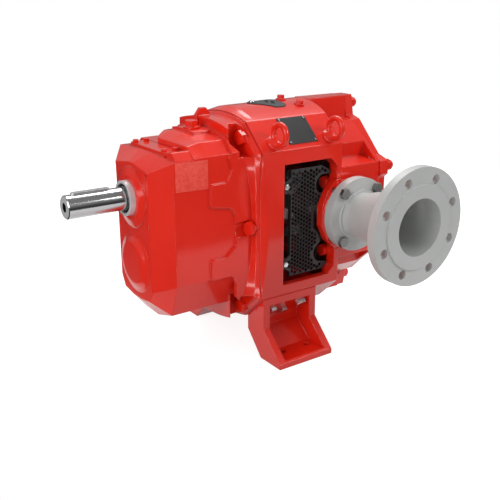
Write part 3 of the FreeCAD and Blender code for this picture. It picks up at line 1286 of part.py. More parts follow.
def inner_rings(h):
    return Part.makeCompound([
        ring_x(x, x + BEARING_WIDTH, inner + BEARING_RING, inner + FIT, height)
        for x, inner, outer, height in bearing_places(h)])


# Feet

def foot_outline():
    """Outline across the foot: bevel seat, splayed leg and level base, on the -Y side."""
    drop = SIDE_HALF_WIDTH - ROOF_EDGE_Y
    return [(-SIDE_HALF_WIDTH, -SIDE_HALF_HEIGHT), (-SIDE_HALF_WIDTH, -FOOT_KNEE_Z),
            (-FOOT_OUT, -AXIS_HEIGHT + 10.0), (-FOOT_OUT, -AXIS_HEIGHT), (-FOOT_TOE, -AXIS_HEIGHT),
            (-ROOF_EDGE_Y, -FOOT_KNEE_Z - 15.0), (-ROOF_EDGE_Y, -SIDE_HALF_HEIGHT - drop * BEVEL_RATIO)]


def lower_bevel(share, out):
    """Width and height of a point at a share of the near lower bevel, a distance outside it."""
    normal = bevel_normal()
    y = -SIDE_HALF_WIDTH + share * (SIDE_HALF_WIDTH - ROOF_EDGE_Y) + out * normal.y
    h = -SIDE_HALF_HEIGHT - share * (ROOF_EDGE_Z - SIDE_HALF_HEIGHT) - out * normal.z
    return y, h


def foot_pocket():
    """Hollow of the foot, open to the outside, between two cheeks."""
    upper = lower_bevel(0.1, FOOT_SEAT)
    inner = lower_bevel(0.9, FOOT_SEAT)
    floor = -AXIS_HEIGHT + FOOT_PLATE
    outline = [(-FOOT_OUT - 6.0, upper[1]), (-FOOT_OUT - 60.0, floor), (-FOOT_TOE - 10.0, floor),
               (inner[0], -FOOT_KNEE_Z - 12.0), inner, upper]
    return prism_x(outline, PORT_X - FOOT_REAR + FOOT_WALL, PORT_X - FOOT_FRONT - FOOT_WALL)


def foot_bolt_seats(side):
    """Three screws per foot go up square into the lower bevel of the lantern."""
    normal = bevel_normal()
    direction = V(0, side * -normal.y, -normal.z)
    seats = []
    middle = PORT_X - (FOOT_REAR + FOOT_FRONT) / 2
    for x, share in [(-FOOT_X_SPREAD, 0.42), (0.0, 0.68), (FOOT_X_SPREAD, 0.42)]:
        y, h = lower_bevel(share, FOOT_SEAT)
        seats.append((V(middle + x, -side * y, AXIS_HEIGHT + h), direction))
    return seats


def foot():
    x0 = PORT_X - FOOT_REAR
    x1 = PORT_X - FOOT_FRONT
    body = prism_x(foot_outline(), x0, x1).cut(foot_pocket())
    middle = (x0 + x1) / 2
    holes = [Part.makeCylinder(FOOT_HOLE / 2, FOOT_PLATE + 2.0, V(middle + s * FOOT_BOLT_PITCH / 2,
                                                                  -FOOT_BOLT_Y, -1.0)) for s in (-1, 1)]
    return body.cut(holes + bolt_holes(FOOT_BOLT, foot_bolt_seats(-1))).removeSplitter()


# Export

def export(name, shape):
    shape.exportStep(os.path.join("parts", name + ".step"))


os.makedirs("parts", exist_ok=True)
NODES = {
    "gearbox_housing": gearbox_housing(),
    "inspection_cover": inspection_cover(),
    "inspection_cover_screws": bolt_group(HATCH_BOLT, hatch_bolt_seats()),
    "breather_plug": breather_plug(),
    "shaft_seal_sleeve": shaft_seal_sleeve(),
    "shaft_lip_seal": shaft_lip_seal(),
    "gearbox_flange_bolts": bolt_group(FLANGE_BOLT, flange_bolt_seats()),
    "intermediate_housing": intermediate_housing(),
    "side_guard_near": side_guard(),
    "side_guard_far": far_copy(side_guard()),
    "roof_guard": roof_guard(),
    "guard_screws": guard_screws(),
    "roof_plugs": roof_plugs(),
    "nameplate": nameplate(),
    "nameplate_rivets": nameplate_rivets(),
    "eye_bolts": eye_bolts(),
    "rotor_casing": rotor_casing(),
    "casing_bolts": bolt_group(CASING_BOLT, casing_bolt_seats()),
    "pump_cover": pump_cover(),
    "cover_studs": cover_studs(),
    "cover_cap_nuts": cover_cap_nuts(),
    "wear_plate_rear": wear_plate(X_CASING, SEAL_BORE + RUNNING),
    "wear_plate_front": wear_plate(X_COVER - WEAR_PLATE, 0.0),
    "seal_cartridge_upper": seal_cartridge(PITCH_RADIUS),
    "seal_cartridge_lower": seal_cartridge(-PITCH_RADIUS),
    "port_spool_near": port_spool(),
    "port_spool_far": far_copy(port_spool()),
    "port_gasket_near": port_gasket(),
    "port_gasket_far": far_copy(port_gasket()),
    "port_bolts_near": bolt_group(PORT_BOLT, port_bolt_seats(-1)),
    "port_bolts_far": bolt_group(PORT_BOLT, port_bolt_seats(1)),
    "bearing_outer_rings": outer_rings(),
    "foot_near": foot(),
    "foot_far": far_copy(foot()),
    "foot_screws_near": bolt_group(FOOT_BOLT, foot_bolt_seats(-1)),
    "foot_screws_far": bolt_group(FOOT_BOLT, foot_bolt_seats(1)),
    "drive_shaft": drive_shaft(),
    "shaft_key": key_shape(0.0),
    "drive_gear": timing_gear(PITCH_RADIUS),
    "upper_rotor": rotor(PITCH_RADIUS),
    "upper_rotor_bolt": rotor_bolt(PITCH_RADIUS),
    "drive_bearing_rings": inner_rings(PITCH_RADIUS),
    "driven_shaft": driven_shaft(),
    "driven_gear": timing_gear(-PITCH_RADIUS),
    "lower_rotor": rotor(-PITCH_RADIUS),
    "lower_rotor_bolt": rotor_bolt(-PITCH_RADIUS),
    "driven_bearing_rings": inner_rings(-PITCH_RADIUS),
}
for name, shape in NODES.items():
    export(name, shape)
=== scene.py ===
import math

import bmesh
import bpy
from mathutils import Matrix, Vector


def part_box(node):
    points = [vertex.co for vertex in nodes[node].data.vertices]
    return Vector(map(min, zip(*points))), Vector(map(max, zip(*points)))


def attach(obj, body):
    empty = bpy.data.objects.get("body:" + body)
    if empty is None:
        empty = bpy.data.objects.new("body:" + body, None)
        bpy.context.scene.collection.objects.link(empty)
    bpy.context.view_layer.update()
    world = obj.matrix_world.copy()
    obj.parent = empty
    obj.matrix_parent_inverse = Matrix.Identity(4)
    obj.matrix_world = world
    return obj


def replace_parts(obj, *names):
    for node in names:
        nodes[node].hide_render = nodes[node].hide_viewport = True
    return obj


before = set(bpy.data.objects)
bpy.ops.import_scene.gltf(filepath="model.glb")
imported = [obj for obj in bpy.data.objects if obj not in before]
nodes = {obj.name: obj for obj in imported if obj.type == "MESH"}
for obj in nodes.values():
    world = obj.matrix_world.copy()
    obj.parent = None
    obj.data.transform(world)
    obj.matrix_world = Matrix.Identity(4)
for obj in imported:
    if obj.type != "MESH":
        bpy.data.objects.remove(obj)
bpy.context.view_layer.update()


# Gearbox housing. Grey iron casting in gloss red enamel, with the timing gears inside. Its edges are rounded
# as cast, and the enamel is thick and slightly uneven. Six screws clamp it to the lantern.

AXIS_Z = 0.266
PORT_X = 0.1445
ENAMEL_DEEP = (0.72, 0.014, 0.004)
ENAMEL_FULL = (0.80, 0.019, 0.006)
CAST_EDGE = 0.0036


def place(x, y, h):
    """Spot in metres, from millimetres along the shafts off the port axis, across, and over the middle."""
    return Vector((PORT_X + x / 1000.0, y / 1000.0, AXIS_Z + h / 1000.0))


def new_material(name):
    material = bpy.data.materials.new(name)
    material.use_nodes = True
    tree = material.node_tree
    shader = tree.nodes["Principled BSDF"]
    coords = tree.nodes.new("ShaderNodeTexCoord")
    return material, tree, shader, coords.outputs["Object"]


def noise(tree, coords, scale, detail=2.0, rough=0.5):
    node = tree.nodes.new("ShaderNodeTexNoise")
    node.inputs["Scale"].default_value = scale
    node.inputs["Detail"].default_value = detail
    node.inputs["Roughness"].default_value = rough
    tree.links.new(coords, node.inputs["Vector"])
    return node.outputs["Fac"]


def ramp(tree, value, low, high, start=0.0, end=1.0):
    """Map a number that runs from start to end onto low to high."""
    node = tree.nodes.new("ShaderNodeMapRange")
    node.inputs["From Min"].default_value = start
    node.inputs["From Max"].default_value = end
    node.inputs["To Min"].default_value = low
    node.inputs["To Max"].default_value = high
    tree.links.new(value, node.inputs["Value"])
    return node.outputs["Result"]


def mixed(tree, share, first, second):
    """Blend two colours or two numbers, each given as a plain value or as a socket."""
    colours = isinstance(first, tuple) or isinstance(second, tuple)
    node = tree.nodes.new("ShaderNodeMix")
    node.data_type = "RGBA" if colours else "FLOAT"
    slot = 6 if colours else 2
    for socket, part in ((node.inputs[slot], first), (node.inputs[slot + 1], second)):
        if isinstance(part, bpy.types.NodeSocket):
            tree.links.new(part, socket)
        else:
            socket.default_value = (*part, 1.0) if colours else part
    tree.links.new(share, node.inputs[0])
    return node.outputs[2 if colours else 0]


def bump(tree, height, strength, distance, normal=None):
    node = tree.nodes.new("ShaderNodeBump")
    node.inputs["Strength"].default_value = strength
    node.inputs["Distance"].default_value = distance
    tree.links.new(height, node.inputs["Height"])
    if normal is not None:
        tree.links.new(normal, node.inputs["Normal"])
    return node.outputs["Normal"]


def rounded(tree, radius):
    """Normal of edges that are rounded to a radius."""
    node = tree.nodes.new("ShaderNodeBevel")
    node.samples = 6
    node.inputs["Radius"].default_value = radius
    return node.outputs["Normal"]


def red_paint(name, radius, grain):
    material, tree, shader, coords = new_material(name)
    tone = ramp(tree, noise(tree, coords, 9.0, 3.0), 0.0, 1.0, 0.3, 0.7)
    tree.links.new(mixed(tree, tone, ENAMEL_DEEP, ENAMEL_FULL), shader.inputs["Base Color"])
    tree.links.new(ramp(tree, noise(tree, coords, 38.0, 4.0), 0.26, 0.38), shader.inputs["Roughness"])
    normal = bump(tree, noise(tree, coords, 26.0, 2.0), 0.10, 0.0010, rounded(tree, radius))
    normal = bump(tree, noise(tree, coords, 620.0, 3.0), grain, 0.0003, normal)
    tree.links.new(normal, shader.inputs["Normal"])
    tree.links.new(normal, shader.inputs["Coat Normal"])
    shader.inputs["Specular IOR Level"].default_value = 0.22
    shader.inputs["Coat Weight"].default_value = 0.8
    shader.inputs["Coat Roughness"].default_value = 0.07
    return material


def give(obj, material):
    obj.data.materials.clear()
    obj.data.materials.append(material)


def finish(material, *names):
    """Give a finish to solids of the frame."""
    for name in names:
        give(nodes[name], material)


PAINT = red_paint("red_enamel", CAST_EDGE, 0.10)
finish(PAINT, "gearbox_housing")


# Cast patch on the near wall of the gearbox. A slightly raised rectangle with the rough skin of the sand
# mould, painted over with the rest.

PATCH_CORNERS = ((-374.0, 86.0), (-309.0, 84.0), (-309.0, 136.0), (-374.0, 137.0))
PATCH_WALL_Y = -101.0
PATCH_RISE = 0.0019
PATCH_EDGE = 0.0010
PATCH_DEEP = (0.76, 0.030, 0.016)
PATCH_PALE = (0.94, 0.100, 0.066)


def link(name, data):
    obj = bpy.data.objects.new(name, data)
    bpy.context.scene.collection.objects.link(obj)
    return obj


def piece_of(name, bm, material, angle):
    """Turn a bmesh into a piece of the fixed body, smooth up to an angle in degrees."""
    bmesh.ops.recalc_face_normals(bm, faces=bm.faces)
    mesh = bpy.data.meshes.new(name)
    bm.to_mesh(mesh)
    bm.free()
    mesh.shade_smooth()
    mesh.set_sharp_from_angle(angle=math.radians(angle))
    piece = link(name, mesh)
    give(piece, material)
    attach(piece, "pump")
    return piece


def raise_face(bm, faces, step):
    """Extrude faces by a step and keep the old ones as the underside, so the solid is closed."""
    edges = {e for face in faces for e in face.edges}
    grown = bmesh.ops.extrude_face_region(bm, geom=list(faces) + list(edges), use_keep_orig=True)
    bmesh.ops.translate(bm, vec=step, verts=[g for g in grown["geom"] if isinstance(g, bmesh.types.BMVert)])


def rough_enamel(name):
    material, tree, shader, coords = new_material(name)
    tone = ramp(tree, noise(tree, coords, 210.0, 5.0, 0.65), 0.0, 1.0, 0.30, 0.70)
    tree.links.new(mixed(tree, tone, PATCH_DEEP, PATCH_PALE), shader.inputs["Base Color"])
    tree.links.new(ramp(tree, tone, 0.40, 0.55), shader.inputs["Roughness"])
    normal = bump(tree, noise(tree, coords, 300.0, 5.0, 0.6), 0.55, 0.0010, rounded(tree, 0.0008))
    tree.links.new(normal, shader.inputs["Normal"])
    return material


bm = bmesh.new()
patch = bm.faces.new([bm.verts.new(place(x, PATCH_WALL_Y, h)) for x, h in PATCH_CORNERS])
raise_face(bm, [patch], Vector((0.0, -PATCH_RISE, 0.0)))
middle_y = PATCH_WALL_Y / 1000.0 - PATCH_RISE / 2.0
outer = [e for e in bm.edges if all(v.co.y < middle_y for v in e.verts)]
bmesh.ops.bevel(bm, geom=outer, offset=PATCH_EDGE, segments=2, profile=0.5, affect="EDGES", material=-1)
piece_of("gearbox_cast_patch", bm, rough_enamel("red_enamel_on_rough_casting"), 35.0)


# Blind boss under the drive shaft. It is cast in one with the gearbox nose over the lower bearing, crowned
# and run out softly into the flat face, and painted with it.

NOSE_X = -407.0
SHAFT_H = 62.5
CROWN_PROFILE = ((0.0, 8.9), (30.0, 8.8), (36.0, 8.6), (40.0, 8.0), (43.0, 6.6), (46.0, 4.6), (48.5, 2.8),
                 (51.0, 1.4), (54.0, 0.5), (57.0, 0.05), (57.0, -2.0), (0.0, -2.0))


def whole_turn(bm, geom, centre, axis, steps):
    bmesh.ops.spin(bm, geom=geom, cent=centre, axis=axis.xyz.normalized(), dvec=(0.0, 0.0, 0.0),
                   angle=2.0 * math.pi, steps=steps, use_merge=True, use_duplicate=False)


def turned(bm, profile, stand, steps):
    """Turn a profile of (radius, height) in millimetres round the Z axis of a stand."""
    verts = [bm.verts.new(stand @ Vector((radius, 0.0, height))) for radius, height in profile]
    edges = [bm.edges.new(pair) for pair in zip(verts, verts[1:])]
    whole_turn(bm, verts + edges, stand.translation, stand.col[2], steps)
    bmesh.ops.remove_doubles(bm, verts=bm.verts, dist=1e-6)


def standing(spot, direction):
    """Frame in millimetres whose Z axis points in a direction from a spot."""
    turn = Vector((0.0, 0.0, 1.0)).rotation_difference(direction).to_matrix().to_4x4()
    return Matrix.Translation(spot) @ turn @ Matrix.Scale(0.001, 4)


bm = bmesh.new()
turned(bm, CROWN_PROFILE, standing(place(NOSE_X, 0.0, -SHAFT_H), Vector((-1.0, 0.0, 0.0))), 72)
piece_of("blind_boss_crown", bm, PAINT, 60.0)


# Gearbox fittings. Inspection cover, its screws, the breather plug and the flange screws are steel, put on
# before the pump is sprayed, so they carry the same enamel in a thinner film.

FINE_PAINT = red_paint("red_enamel_small", 0.0009, 0.08)
finish(FINE_PAINT, "inspection_cover", "inspection_cover_screws", "breather_plug", "gearbox_flange_bolts")


# Shafts, sleeve and machined steel. The drive shaft end is ground bright with fine turning marks, and the
# key lies in its seat. A bright sleeve is pressed into the drive boss; gears and bearing rings are darker.

END_FACE_METAL = 0.35
END_FACE_DEPTH = (0.0004, 0.0006)


def bare_steel(name, colour, rough, turning=0.0, radius=0.0005, metal=1.0):
    material, tree, shader, coords = new_material(name)
    shader.inputs["Metallic"].default_value = metal
    tone = noise(tree, coords, 60.0, 3.0)
    darker = tuple(c * 0.86 for c in colour)
    tree.links.new(mixed(tree, tone, darker, colour), shader.inputs["Base Color"])
    tree.links.new(ramp(tree, tone, rough * 0.8, rough * 1.25), shader.inputs["Roughness"])
    normal = rounded(tree, radius)
    if turning:
        wave = tree.nodes.new("ShaderNodeTexWave")
        wave.wave_type = "BANDS"
        wave.bands_direction = "X"
        wave.inputs["Scale"].default_value = 260.0
        wave.inputs["Distortion"].default_value = 1.2
        wave.inputs["Detail"].default_value = 2.0
        tree.links.new(coords, wave.inputs["Vector"])
        normal = bump(tree, wave.outputs["Fac"], turning, 0.0001, normal)
    tree.links.new(normal, shader.inputs["Normal"])
    return material


def object_axes(tree):
    """Outputs X, Y and Z of the place on a piece."""
    coords = tree.nodes.new("ShaderNodeTexCoord")
    split = tree.nodes.new("ShaderNodeSeparateXYZ")
    tree.links.new(coords.outputs["Object"], split.inputs[0])
    return split.outputs


def turned_end(material, end_x):
    """Matt facing cut on the end of the drive shaft, paler than the ground surface."""
    tree = material.node_tree
    start, end = [end_x + depth for depth in END_FACE_DEPTH]
    metal = ramp(tree, object_axes(tree)["X"], END_FACE_METAL, 1.0, start, end)
    tree.links.new(metal, tree.nodes["Principled BSDF"].inputs["Metallic"])


SHAFT = bare_steel("ground_shaft_steel", (0.66, 0.66, 0.67), 0.14, turning=0.2)
SLEEVE = bare_steel("bright_sleeve_steel", (0.82, 0.80, 0.81), 0.36, metal=0.4)
KEY = bare_steel("drawn_key_steel", (0.66, 0.66, 0.67), 0.28, metal=0.7)
GEAR = bare_steel("hardened_gear_steel", (0.36, 0.36, 0.37), 0.32)
WEAR = bare_steel("lapped_wear_steel", (0.48, 0.49, 0.50), 0.25)
turned_end(SHAFT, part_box("drive_shaft")[0][0])
finish(SHAFT, "drive_shaft", "driven_shaft", "upper_rotor_bolt", "lower_rotor_bolt")
finish(SLEEVE, "shaft_seal_sleeve")
finish(KEY, "shaft_key")
finish(GEAR, "drive_gear", "driven_gear", "bearing_outer_rings", "drive_bearing_rings",
       "driven_bearing_rings")
finish(WEAR, "wear_plate_rear", "wear_plate_front", "seal_cartridge_upper", "seal_cartridge_lower")


# Rubber parts. The lip seal, port gaskets and rotor coatings are moulded black nitrile rubber with a dull
# skin, held by their fits and the screws that clamp them.

RUBBER_BLACK = (0.009, 0.009, 0.010)


def rubber(name, colour):
    material, tree, shader, coords = new_material(name)
    tone = noise(tree, coords, 180.0, 3.0)
    lighter = tuple(c * 1.8 for c in colour)
    tree.links.new(mixed(tree, tone, colour, lighter), shader.inputs["Base Color"])
    tree.links.new(ramp(tree, tone, 0.5, 0.7), shader.inputs["Roughness"])
    tree.links.new(bump(tree, tone, 0.1, 0.0001), shader.inputs["Normal"])
    shader.inputs["Specular IOR Level"].default_value = 0.25
    return material


finish(rubber("black_nitrile_rubber", RUBBER_BLACK), "shaft_lip_seal", "port_gasket_near", "port_gasket_far",
       "upper_rotor", "lower_rotor")


# Lantern. Grey iron casting between gearbox and rotor casing, with a deep window on each side and one in
# the roof. It is enamelled outside, and its inside walls get a near-black painted shade. Two plugs close its
# roof.

# Near-black painted shade for the walls inside the lantern, in a box whose sides fade over a few
# millimetres.
PAINTED_SHADE_INSIDE = (0.026, 0.004, 0.003)
PAINTED_SHADE_SOFT = 0.003
PAINTED_SHADE_X = (PORT_X - 0.24, PORT_X - 0.027)
PAINTED_SHADE_Y = (-0.109, 0.109)
PAINTED_SHADE_Z = (AXIS_Z - 0.140, AXIS_Z + 0.108)


def combined(tree, operation, first, second):
    node = tree.nodes.new("ShaderNodeMath")
    node.operation = operation
    tree.links.new(first, node.inputs[0])
    tree.links.new(second, node.inputs[1])
    return node.outputs[0]


def between(tree, value, low, high, soft):
    """1 where a number lies between two limits and 0 outside, with soft ends."""
    rise = ramp(tree, value, 0.0, 1.0, low, low + soft)
    fall = ramp(tree, value, 1.0, 0.0, high - soft, high)
    return combined(tree, "MULTIPLY", rise, fall)


def with_painted_shade_inside(material):
    """Near-black painted shade in place of the enamel on the walls inside the open housings."""
    tree = material.node_tree
    axes = object_axes(tree)
    along, across, up = [between(tree, axes[axis], low, high, PAINTED_SHADE_SOFT)
                         for axis, (low, high) in (("X", PAINTED_SHADE_X), ("Y", PAINTED_SHADE_Y), ("Z", PAINTED_SHADE_Z))]
    inside = combined(tree, "MULTIPLY", combined(tree, "MULTIPLY", along, across), up)
    base = tree.nodes["Principled BSDF"].inputs["Base Color"]
    tree.links.new(mixed(tree, inside, base.links[0].from_socket, PAINTED_SHADE_INSIDE), base)
    return material


# The lantern's enamel, with the painted shade laid over its inside walls.
PAINT_WITH_SHADE_INSIDE = with_painted_shade_inside(red_paint("red_enamel_painted_shade_inside", CAST_EDGE, 0.10))
finish(PAINT_WITH_SHADE_INSIDE, "intermediate_housing")
finish(FINE_PAINT, "roof_plugs")


# Rotor casing. Grey iron casting bolted to the lantern, with an octagonal port pad on each side whose rear
# corner is dressed back to clear the casing screws, in the same enamel and with the same painted shade
# inside the lantern.

PAD_INNER_Y = 0.110
PAD_CORNER_X = 0.070
PAD_DRAW = 0.012


def pad_dressed(spot):
    """Draw the rear corner of a port pad forward, as the fettled casting has it."""
    on_pad = abs(spot.y) > PAD_INNER_Y and spot.x < PORT_X - PAD_CORNER_X
    return spot + Vector((PAD_DRAW, 0.0, 0.0)) if on_pad else spot


bm = bmesh.new()
bm.from_mesh(nodes["rotor_casing"].data)
bmesh.ops.remove_doubles(bm, verts=bm.verts, dist=1e-6)
for vert in bm.verts:
    vert.co = pad_dressed(vert.co)
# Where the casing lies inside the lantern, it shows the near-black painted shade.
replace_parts(piece_of("rotor_casing_dressed", bm, PAINT_WITH_SHADE_INSIDE, 6.0), "rotor_casing")
finish(FINE_PAINT, "casing_bolts")


# Guards and nameplate. The guards are steel sheet with a honeycomb of punched holes, powder coated black,
# each held by button screws. The bare nameplate is dark anodised sheet under four drive rivets.

GUARD_BLACK = (0.030, 0.032, 0.034)
PLATE_BLACK = (0.024, 0.024, 0.025)
GUARD_Y = 112.0
GUARD_THICKNESS = 2.2
GUARD_REAR = -135.0
GUARD_TOP = 97.5
GUARD_BOTTOM = -113.5
FOLD_WIDTH = 2.4
FOLD_DEPTH = 7.0
EAR_X = -147.0
UPPER_EAR_H = 67.0
LOWER_EAR_H = -86.0
EAR_RADIUS = 9.0
SCREW_BITE = 20.0
HOLE_PITCH = 8.1
HOLE_RADIUS = 4.0
HOLE_BORDER = 5.4


def dark_coat(name, colour, rough, grain):
    material, tree, shader, coords = new_material(name)
    tone = noise(tree, coords, 14.0, 3.0)
    lighter = tuple(c * 1.35 for c in colour)
    tree.links.new(mixed(tree, tone, colour, lighter), shader.inputs["Base Color"])
    tree.links.new(ramp(tree, noise(tree, coords, 80.0, 2.0), rough * 0.9, rough * 1.15),
                   shader.inputs["Roughness"])
    tree.links.new(bump(tree, noise(tree, coords, 900.0, 2.0), grain, 0.0002, rounded(tree, 0.0006)),
                   shader.inputs["Normal"])
    return material


def arc_points(u, v, radius, start, end, steps):
    angles = [math.radians(start + (end - start) * i / steps) for i in range(steps + 1)]
    return [(u + radius * math.cos(a), v + radius * math.sin(a)) for a in angles]


def side_guard_outline():
    """Plate with two screw ears at the rear, bitten out round the casing screws and the port pad."""
    outline = [(GUARD_REAR, GUARD_TOP), (-61.0, GUARD_TOP), (-40.0, 86.0), (-37.5, 80.0)]
    outline += arc_points(-55.0, 60.5, SCREW_BITE, 100.0, 235.0, 10)
    outline += [(-57.0, 42.5), (-61.0, 24.0), (-78.5, 11.5), (-78.5, -25.0), (-66.0, -37.0), (-59.5, -55.0)]
    outline += arc_points(-56.0, -78.0, SCREW_BITE, 125.0, 245.0, 10)
    outline += [(-41.0, -101.0), (-54.0, GUARD_BOTTOM), (GUARD_REAR, GUARD_BOTTOM), (GUARD_REAR, -104.0)]
    outline += arc_points(EAR_X, LOWER_EAR_H, EAR_RADIUS, 250.0, 90.0, 8)
    outline += [(GUARD_REAR, -70.0), (GUARD_REAR, 50.0)]
    return outline + arc_points(EAR_X, UPPER_EAR_H, EAR_RADIUS, 270.0, 90.0, 8) + [(GUARD_REAR, 84.0)]


def inside_by(point, outline, border):
    """True where a point lies in an outline, further than a border from its edge."""
    u, v = point
    odd = False
    for (u0, v0), (u1, v1) in zip(outline, outline[1:] + outline[:1]):
        if (v0 > v) != (v1 > v) and u < u0 + (v - v0) * (u1 - u0) / (v1 - v0):
            odd = not odd
        run, rise = u1 - u0, v1 - v0
        share = max(0.0, min(1.0, ((u - u0) * run + (v - v0) * rise) / (run * run + rise * rise)))
        if math.hypot(u - u0 - share * run, v - v0 - share * rise) < border:
            return False
    return odd


def honeycomb(outline, pitch, radius, border):
    """Hexagonal holes in upright columns, wherever they keep a border to the outline."""
    us = [u for u, v in outline]
    vs = [v for u, v in outline]
    holes = []
    column = pitch * math.sqrt(3.0) / 2.0
    for i in range(int((max(us) - min(us)) / column) + 1):
        u = min(us) + border + i * column
        for j in range(int((max(vs) - min(vs)) / pitch) + 1):
            v = min(vs) + border + (j + 0.5 * (i % 2)) * pitch
            if inside_by((u, v), outline, border):
                holes.append(arc_points(u, v, radius, 0.0, 300.0, 5))
    return holes


def side_guard_sheet(name, side):
    """Punched sheet with its rear edge folded inwards, filled flat and then stood in the window."""
    outline = side_guard_outline()
    bm = bmesh.new()
    edges = []
    for loop in [outline] + honeycomb(outline, HOLE_PITCH, HOLE_RADIUS, HOLE_BORDER):
        verts = [bm.verts.new((u, v, 0.0)) for u, v in loop]
        edges += [bm.edges.new(pair) for pair in zip(verts, verts[1:] + verts[:1])]
    bmesh.ops.triangle_fill(bm, use_beauty=True, use_dissolve=False, edges=edges, normal=(0, 0, 1))
    raise_face(bm, bm.faces[:], Vector((0.0, 0.0, GUARD_THICKNESS)))
    middle = (GUARD_REAR + FOLD_WIDTH / 2.0, (GUARD_TOP + GUARD_BOTTOM) / 2.0, -FOLD_DEPTH / 2.0)
    size = Matrix.Diagonal((FOLD_WIDTH, GUARD_TOP - GUARD_BOTTOM, FOLD_DEPTH, 1.0))
    bmesh.ops.create_cube(bm, size=1.0, matrix=Matrix.Translation(middle) @ size)
    for vert in bm.verts:
        vert.co = place(vert.co.x, side * (GUARD_Y + vert.co.z), vert.co.y)
    return piece_of(name, bm, GUARD, 30.0)


GUARD = dark_coat("black_powder_coat", GUARD_BLACK, 0.42, 0.25)
finish(GUARD, "roof_guard")
finish(dark_coat("dark_anodised_sheet", PLATE_BLACK, 0.36, 0.05), "nameplate")
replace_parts(side_guard_sheet("side_guard_sheet_near", -1.0), "side_guard_near")
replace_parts(side_guard_sheet("side_guard_sheet_far", 1.0), "side_guard_far")


# Lifting eyes. Drop-forged eye bolts in the housing's paint: a thick ring that swells into its collar,
# screwed square into the near upper bevel.

COLLAR_PROFILE = ((0.0, 0.0), (15.0, 0.0), (15.0, 2.6), (13.6, 4.2), (11.2, 6.0), (9.0, 8.6), (6.0, 10.4),
                  (0.0, 11.0))
EYE_CENTRE = 24.5
EYE_RADIUS = 18.5
EYE_WIRE = 5.4
EYE_SWELL = 0.3
EYE_XS = (-178.0, -48.0)
BEVEL_FOOT_Y = -130.0
BEVEL_FOOT_H = 140.0
BEVEL_RUN = 53.0
BEVEL_RISE = 50.0
EYE_UP_BEVEL = 0.24


def eye_bolt_mesh(bm, seat, normal):
    stand = standing(seat, normal)
    turned(bm, COLLAR_PROFILE, stand, 40)
    before = set(bm.verts)
    section = stand @ Matrix.Translation((0.0, EYE_RADIUS, EYE_CENTRE))
    wire = bmesh.ops.create_circle(bm, segments=20, radius=EYE_WIRE, matrix=section)["verts"]
    edges = list({e for v in wire for e in v.link_edges})
    whole_turn(bm, wire + edges, stand @ Vector((0.0, 0.0, EYE_CENTRE)), stand.col[0], 56)
    back = stand.inverted()
    for vert in [v for v in bm.verts if v not in before]:
        spot = back @ vert.co
        angle = math.atan2(spot.z - EYE_CENTRE, spot.y)
        low = max(0.0, -math.sin(angle))
        line = Vector((0.0, EYE_RADIUS * math.cos(angle), EYE_CENTRE + EYE_RADIUS * math.sin(angle)))
        vert.co = stand @ (line + (spot - line) * (1.0 + EYE_SWELL * low ** 6))


finish(FINE_PAINT, "eye_bolts")
bm = bmesh.new()
for x in EYE_XS:
    seat = place(x, BEVEL_FOOT_Y + EYE_UP_BEVEL * BEVEL_RUN, BEVEL_FOOT_H + EYE_UP_BEVEL * BEVEL_RISE)
    eye_bolt_mesh(bm, seat, Vector((0.0, -BEVEL_RISE, BEVEL_RUN)).normalized())
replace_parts(piece_of("forged_eye_bolts", bm, FINE_PAINT, 50.0), "eye_bolts")


# Pump cover and feet. Grey iron castings in the same enamel. The cover closes the rotor casing under cap
# nuts on studs, and each foot is screwed to a lower bevel of the lantern and stands on the base.

finish(PAINT, "pump_cover", "foot_near", "foot_far")
finish(FINE_PAINT, "cover_cap_nuts")


# Port spools. Cast stainless reducers, bead blasted to an even light grey, with turned faces on the line
# flange and a step round the hub. Four screws hold each on its pad.

BLASTED_DARK = (0.51, 0.52, 0.51)
BLASTED_LIGHT = (0.58, 0.59, 0.58)


def blasted_steel(name):
    material, tree, shader, coords = new_material(name)
    shader.inputs["Metallic"].default_value = 0.25
    tree.links.new(mixed(tree, noise(tree, coords, 30.0, 4.0), BLASTED_DARK, BLASTED_LIGHT),
                   shader.inputs["Base Color"])
    tree.links.new(ramp(tree, noise(tree, coords, 120.0, 3.0), 0.42, 0.56), shader.inputs["Roughness"])
    tree.links.new(bump(tree, noise(tree, coords, 1100.0, 3.0), 0.18, 0.0002, rounded(tree, 0.0012)),
                   shader.inputs["Normal"])
    return material


finish(blasted_steel("blasted_stainless"), "port_spool_near", "port_spool_far")


# Bright and dark fasteners. Guard screws, rivets and foot screws are zinc plated; the port screws and cover
# studs are dark oiled steel. All are screwed or driven into the castings.

finish(bare_steel("zinc_plated_steel", (0.80, 0.81, 0.82), 0.24, radius=0.0006),
       "guard_screws", "nameplate_rivets", "foot_screws_near", "foot_screws_far")
finish(bare_steel("dark_oiled_steel", (0.34, 0.34, 0.33), 0.38, radius=0.0008),
       "port_bolts_near", "port_bolts_far", "cover_studs")


# Studio. A white table top of limited size, a bright wall behind it and soft boxes round it; the camera
# stands at the photograph's viewing angle. Table and wall look white to the camera and in polished metal.

TABLE_WHITE = 0.40
TABLE_TO_CAMERA = 0.86
TABLE_TO_GLOSS = 0.45
TABLE_LENGTH = 2.1
TABLE_DEPTH = 2.4
TABLE_MIDDLE = (0.65, 0.48)
TABLE_DROP = 0.0005
WORLD_LIGHT = 0.56
ROOM_LOW = 0.05
ROOM_HIGH = 0.24
ROOM_WALL = 0.15
CENTRE = (0.0, 0.0, 0.25)
CAMERA_SPOT = (-0.8114, -1.1601, 0.6632)
CAMERA_LOOK = Vector((0.5397, 0.7765, -0.3252))
CAMERA_LENS = 52.45
CAMERA_SENSOR = 36.0


def ray_kind(tree, kind):
    return tree.nodes.new("ShaderNodeLightPath").outputs[kind]


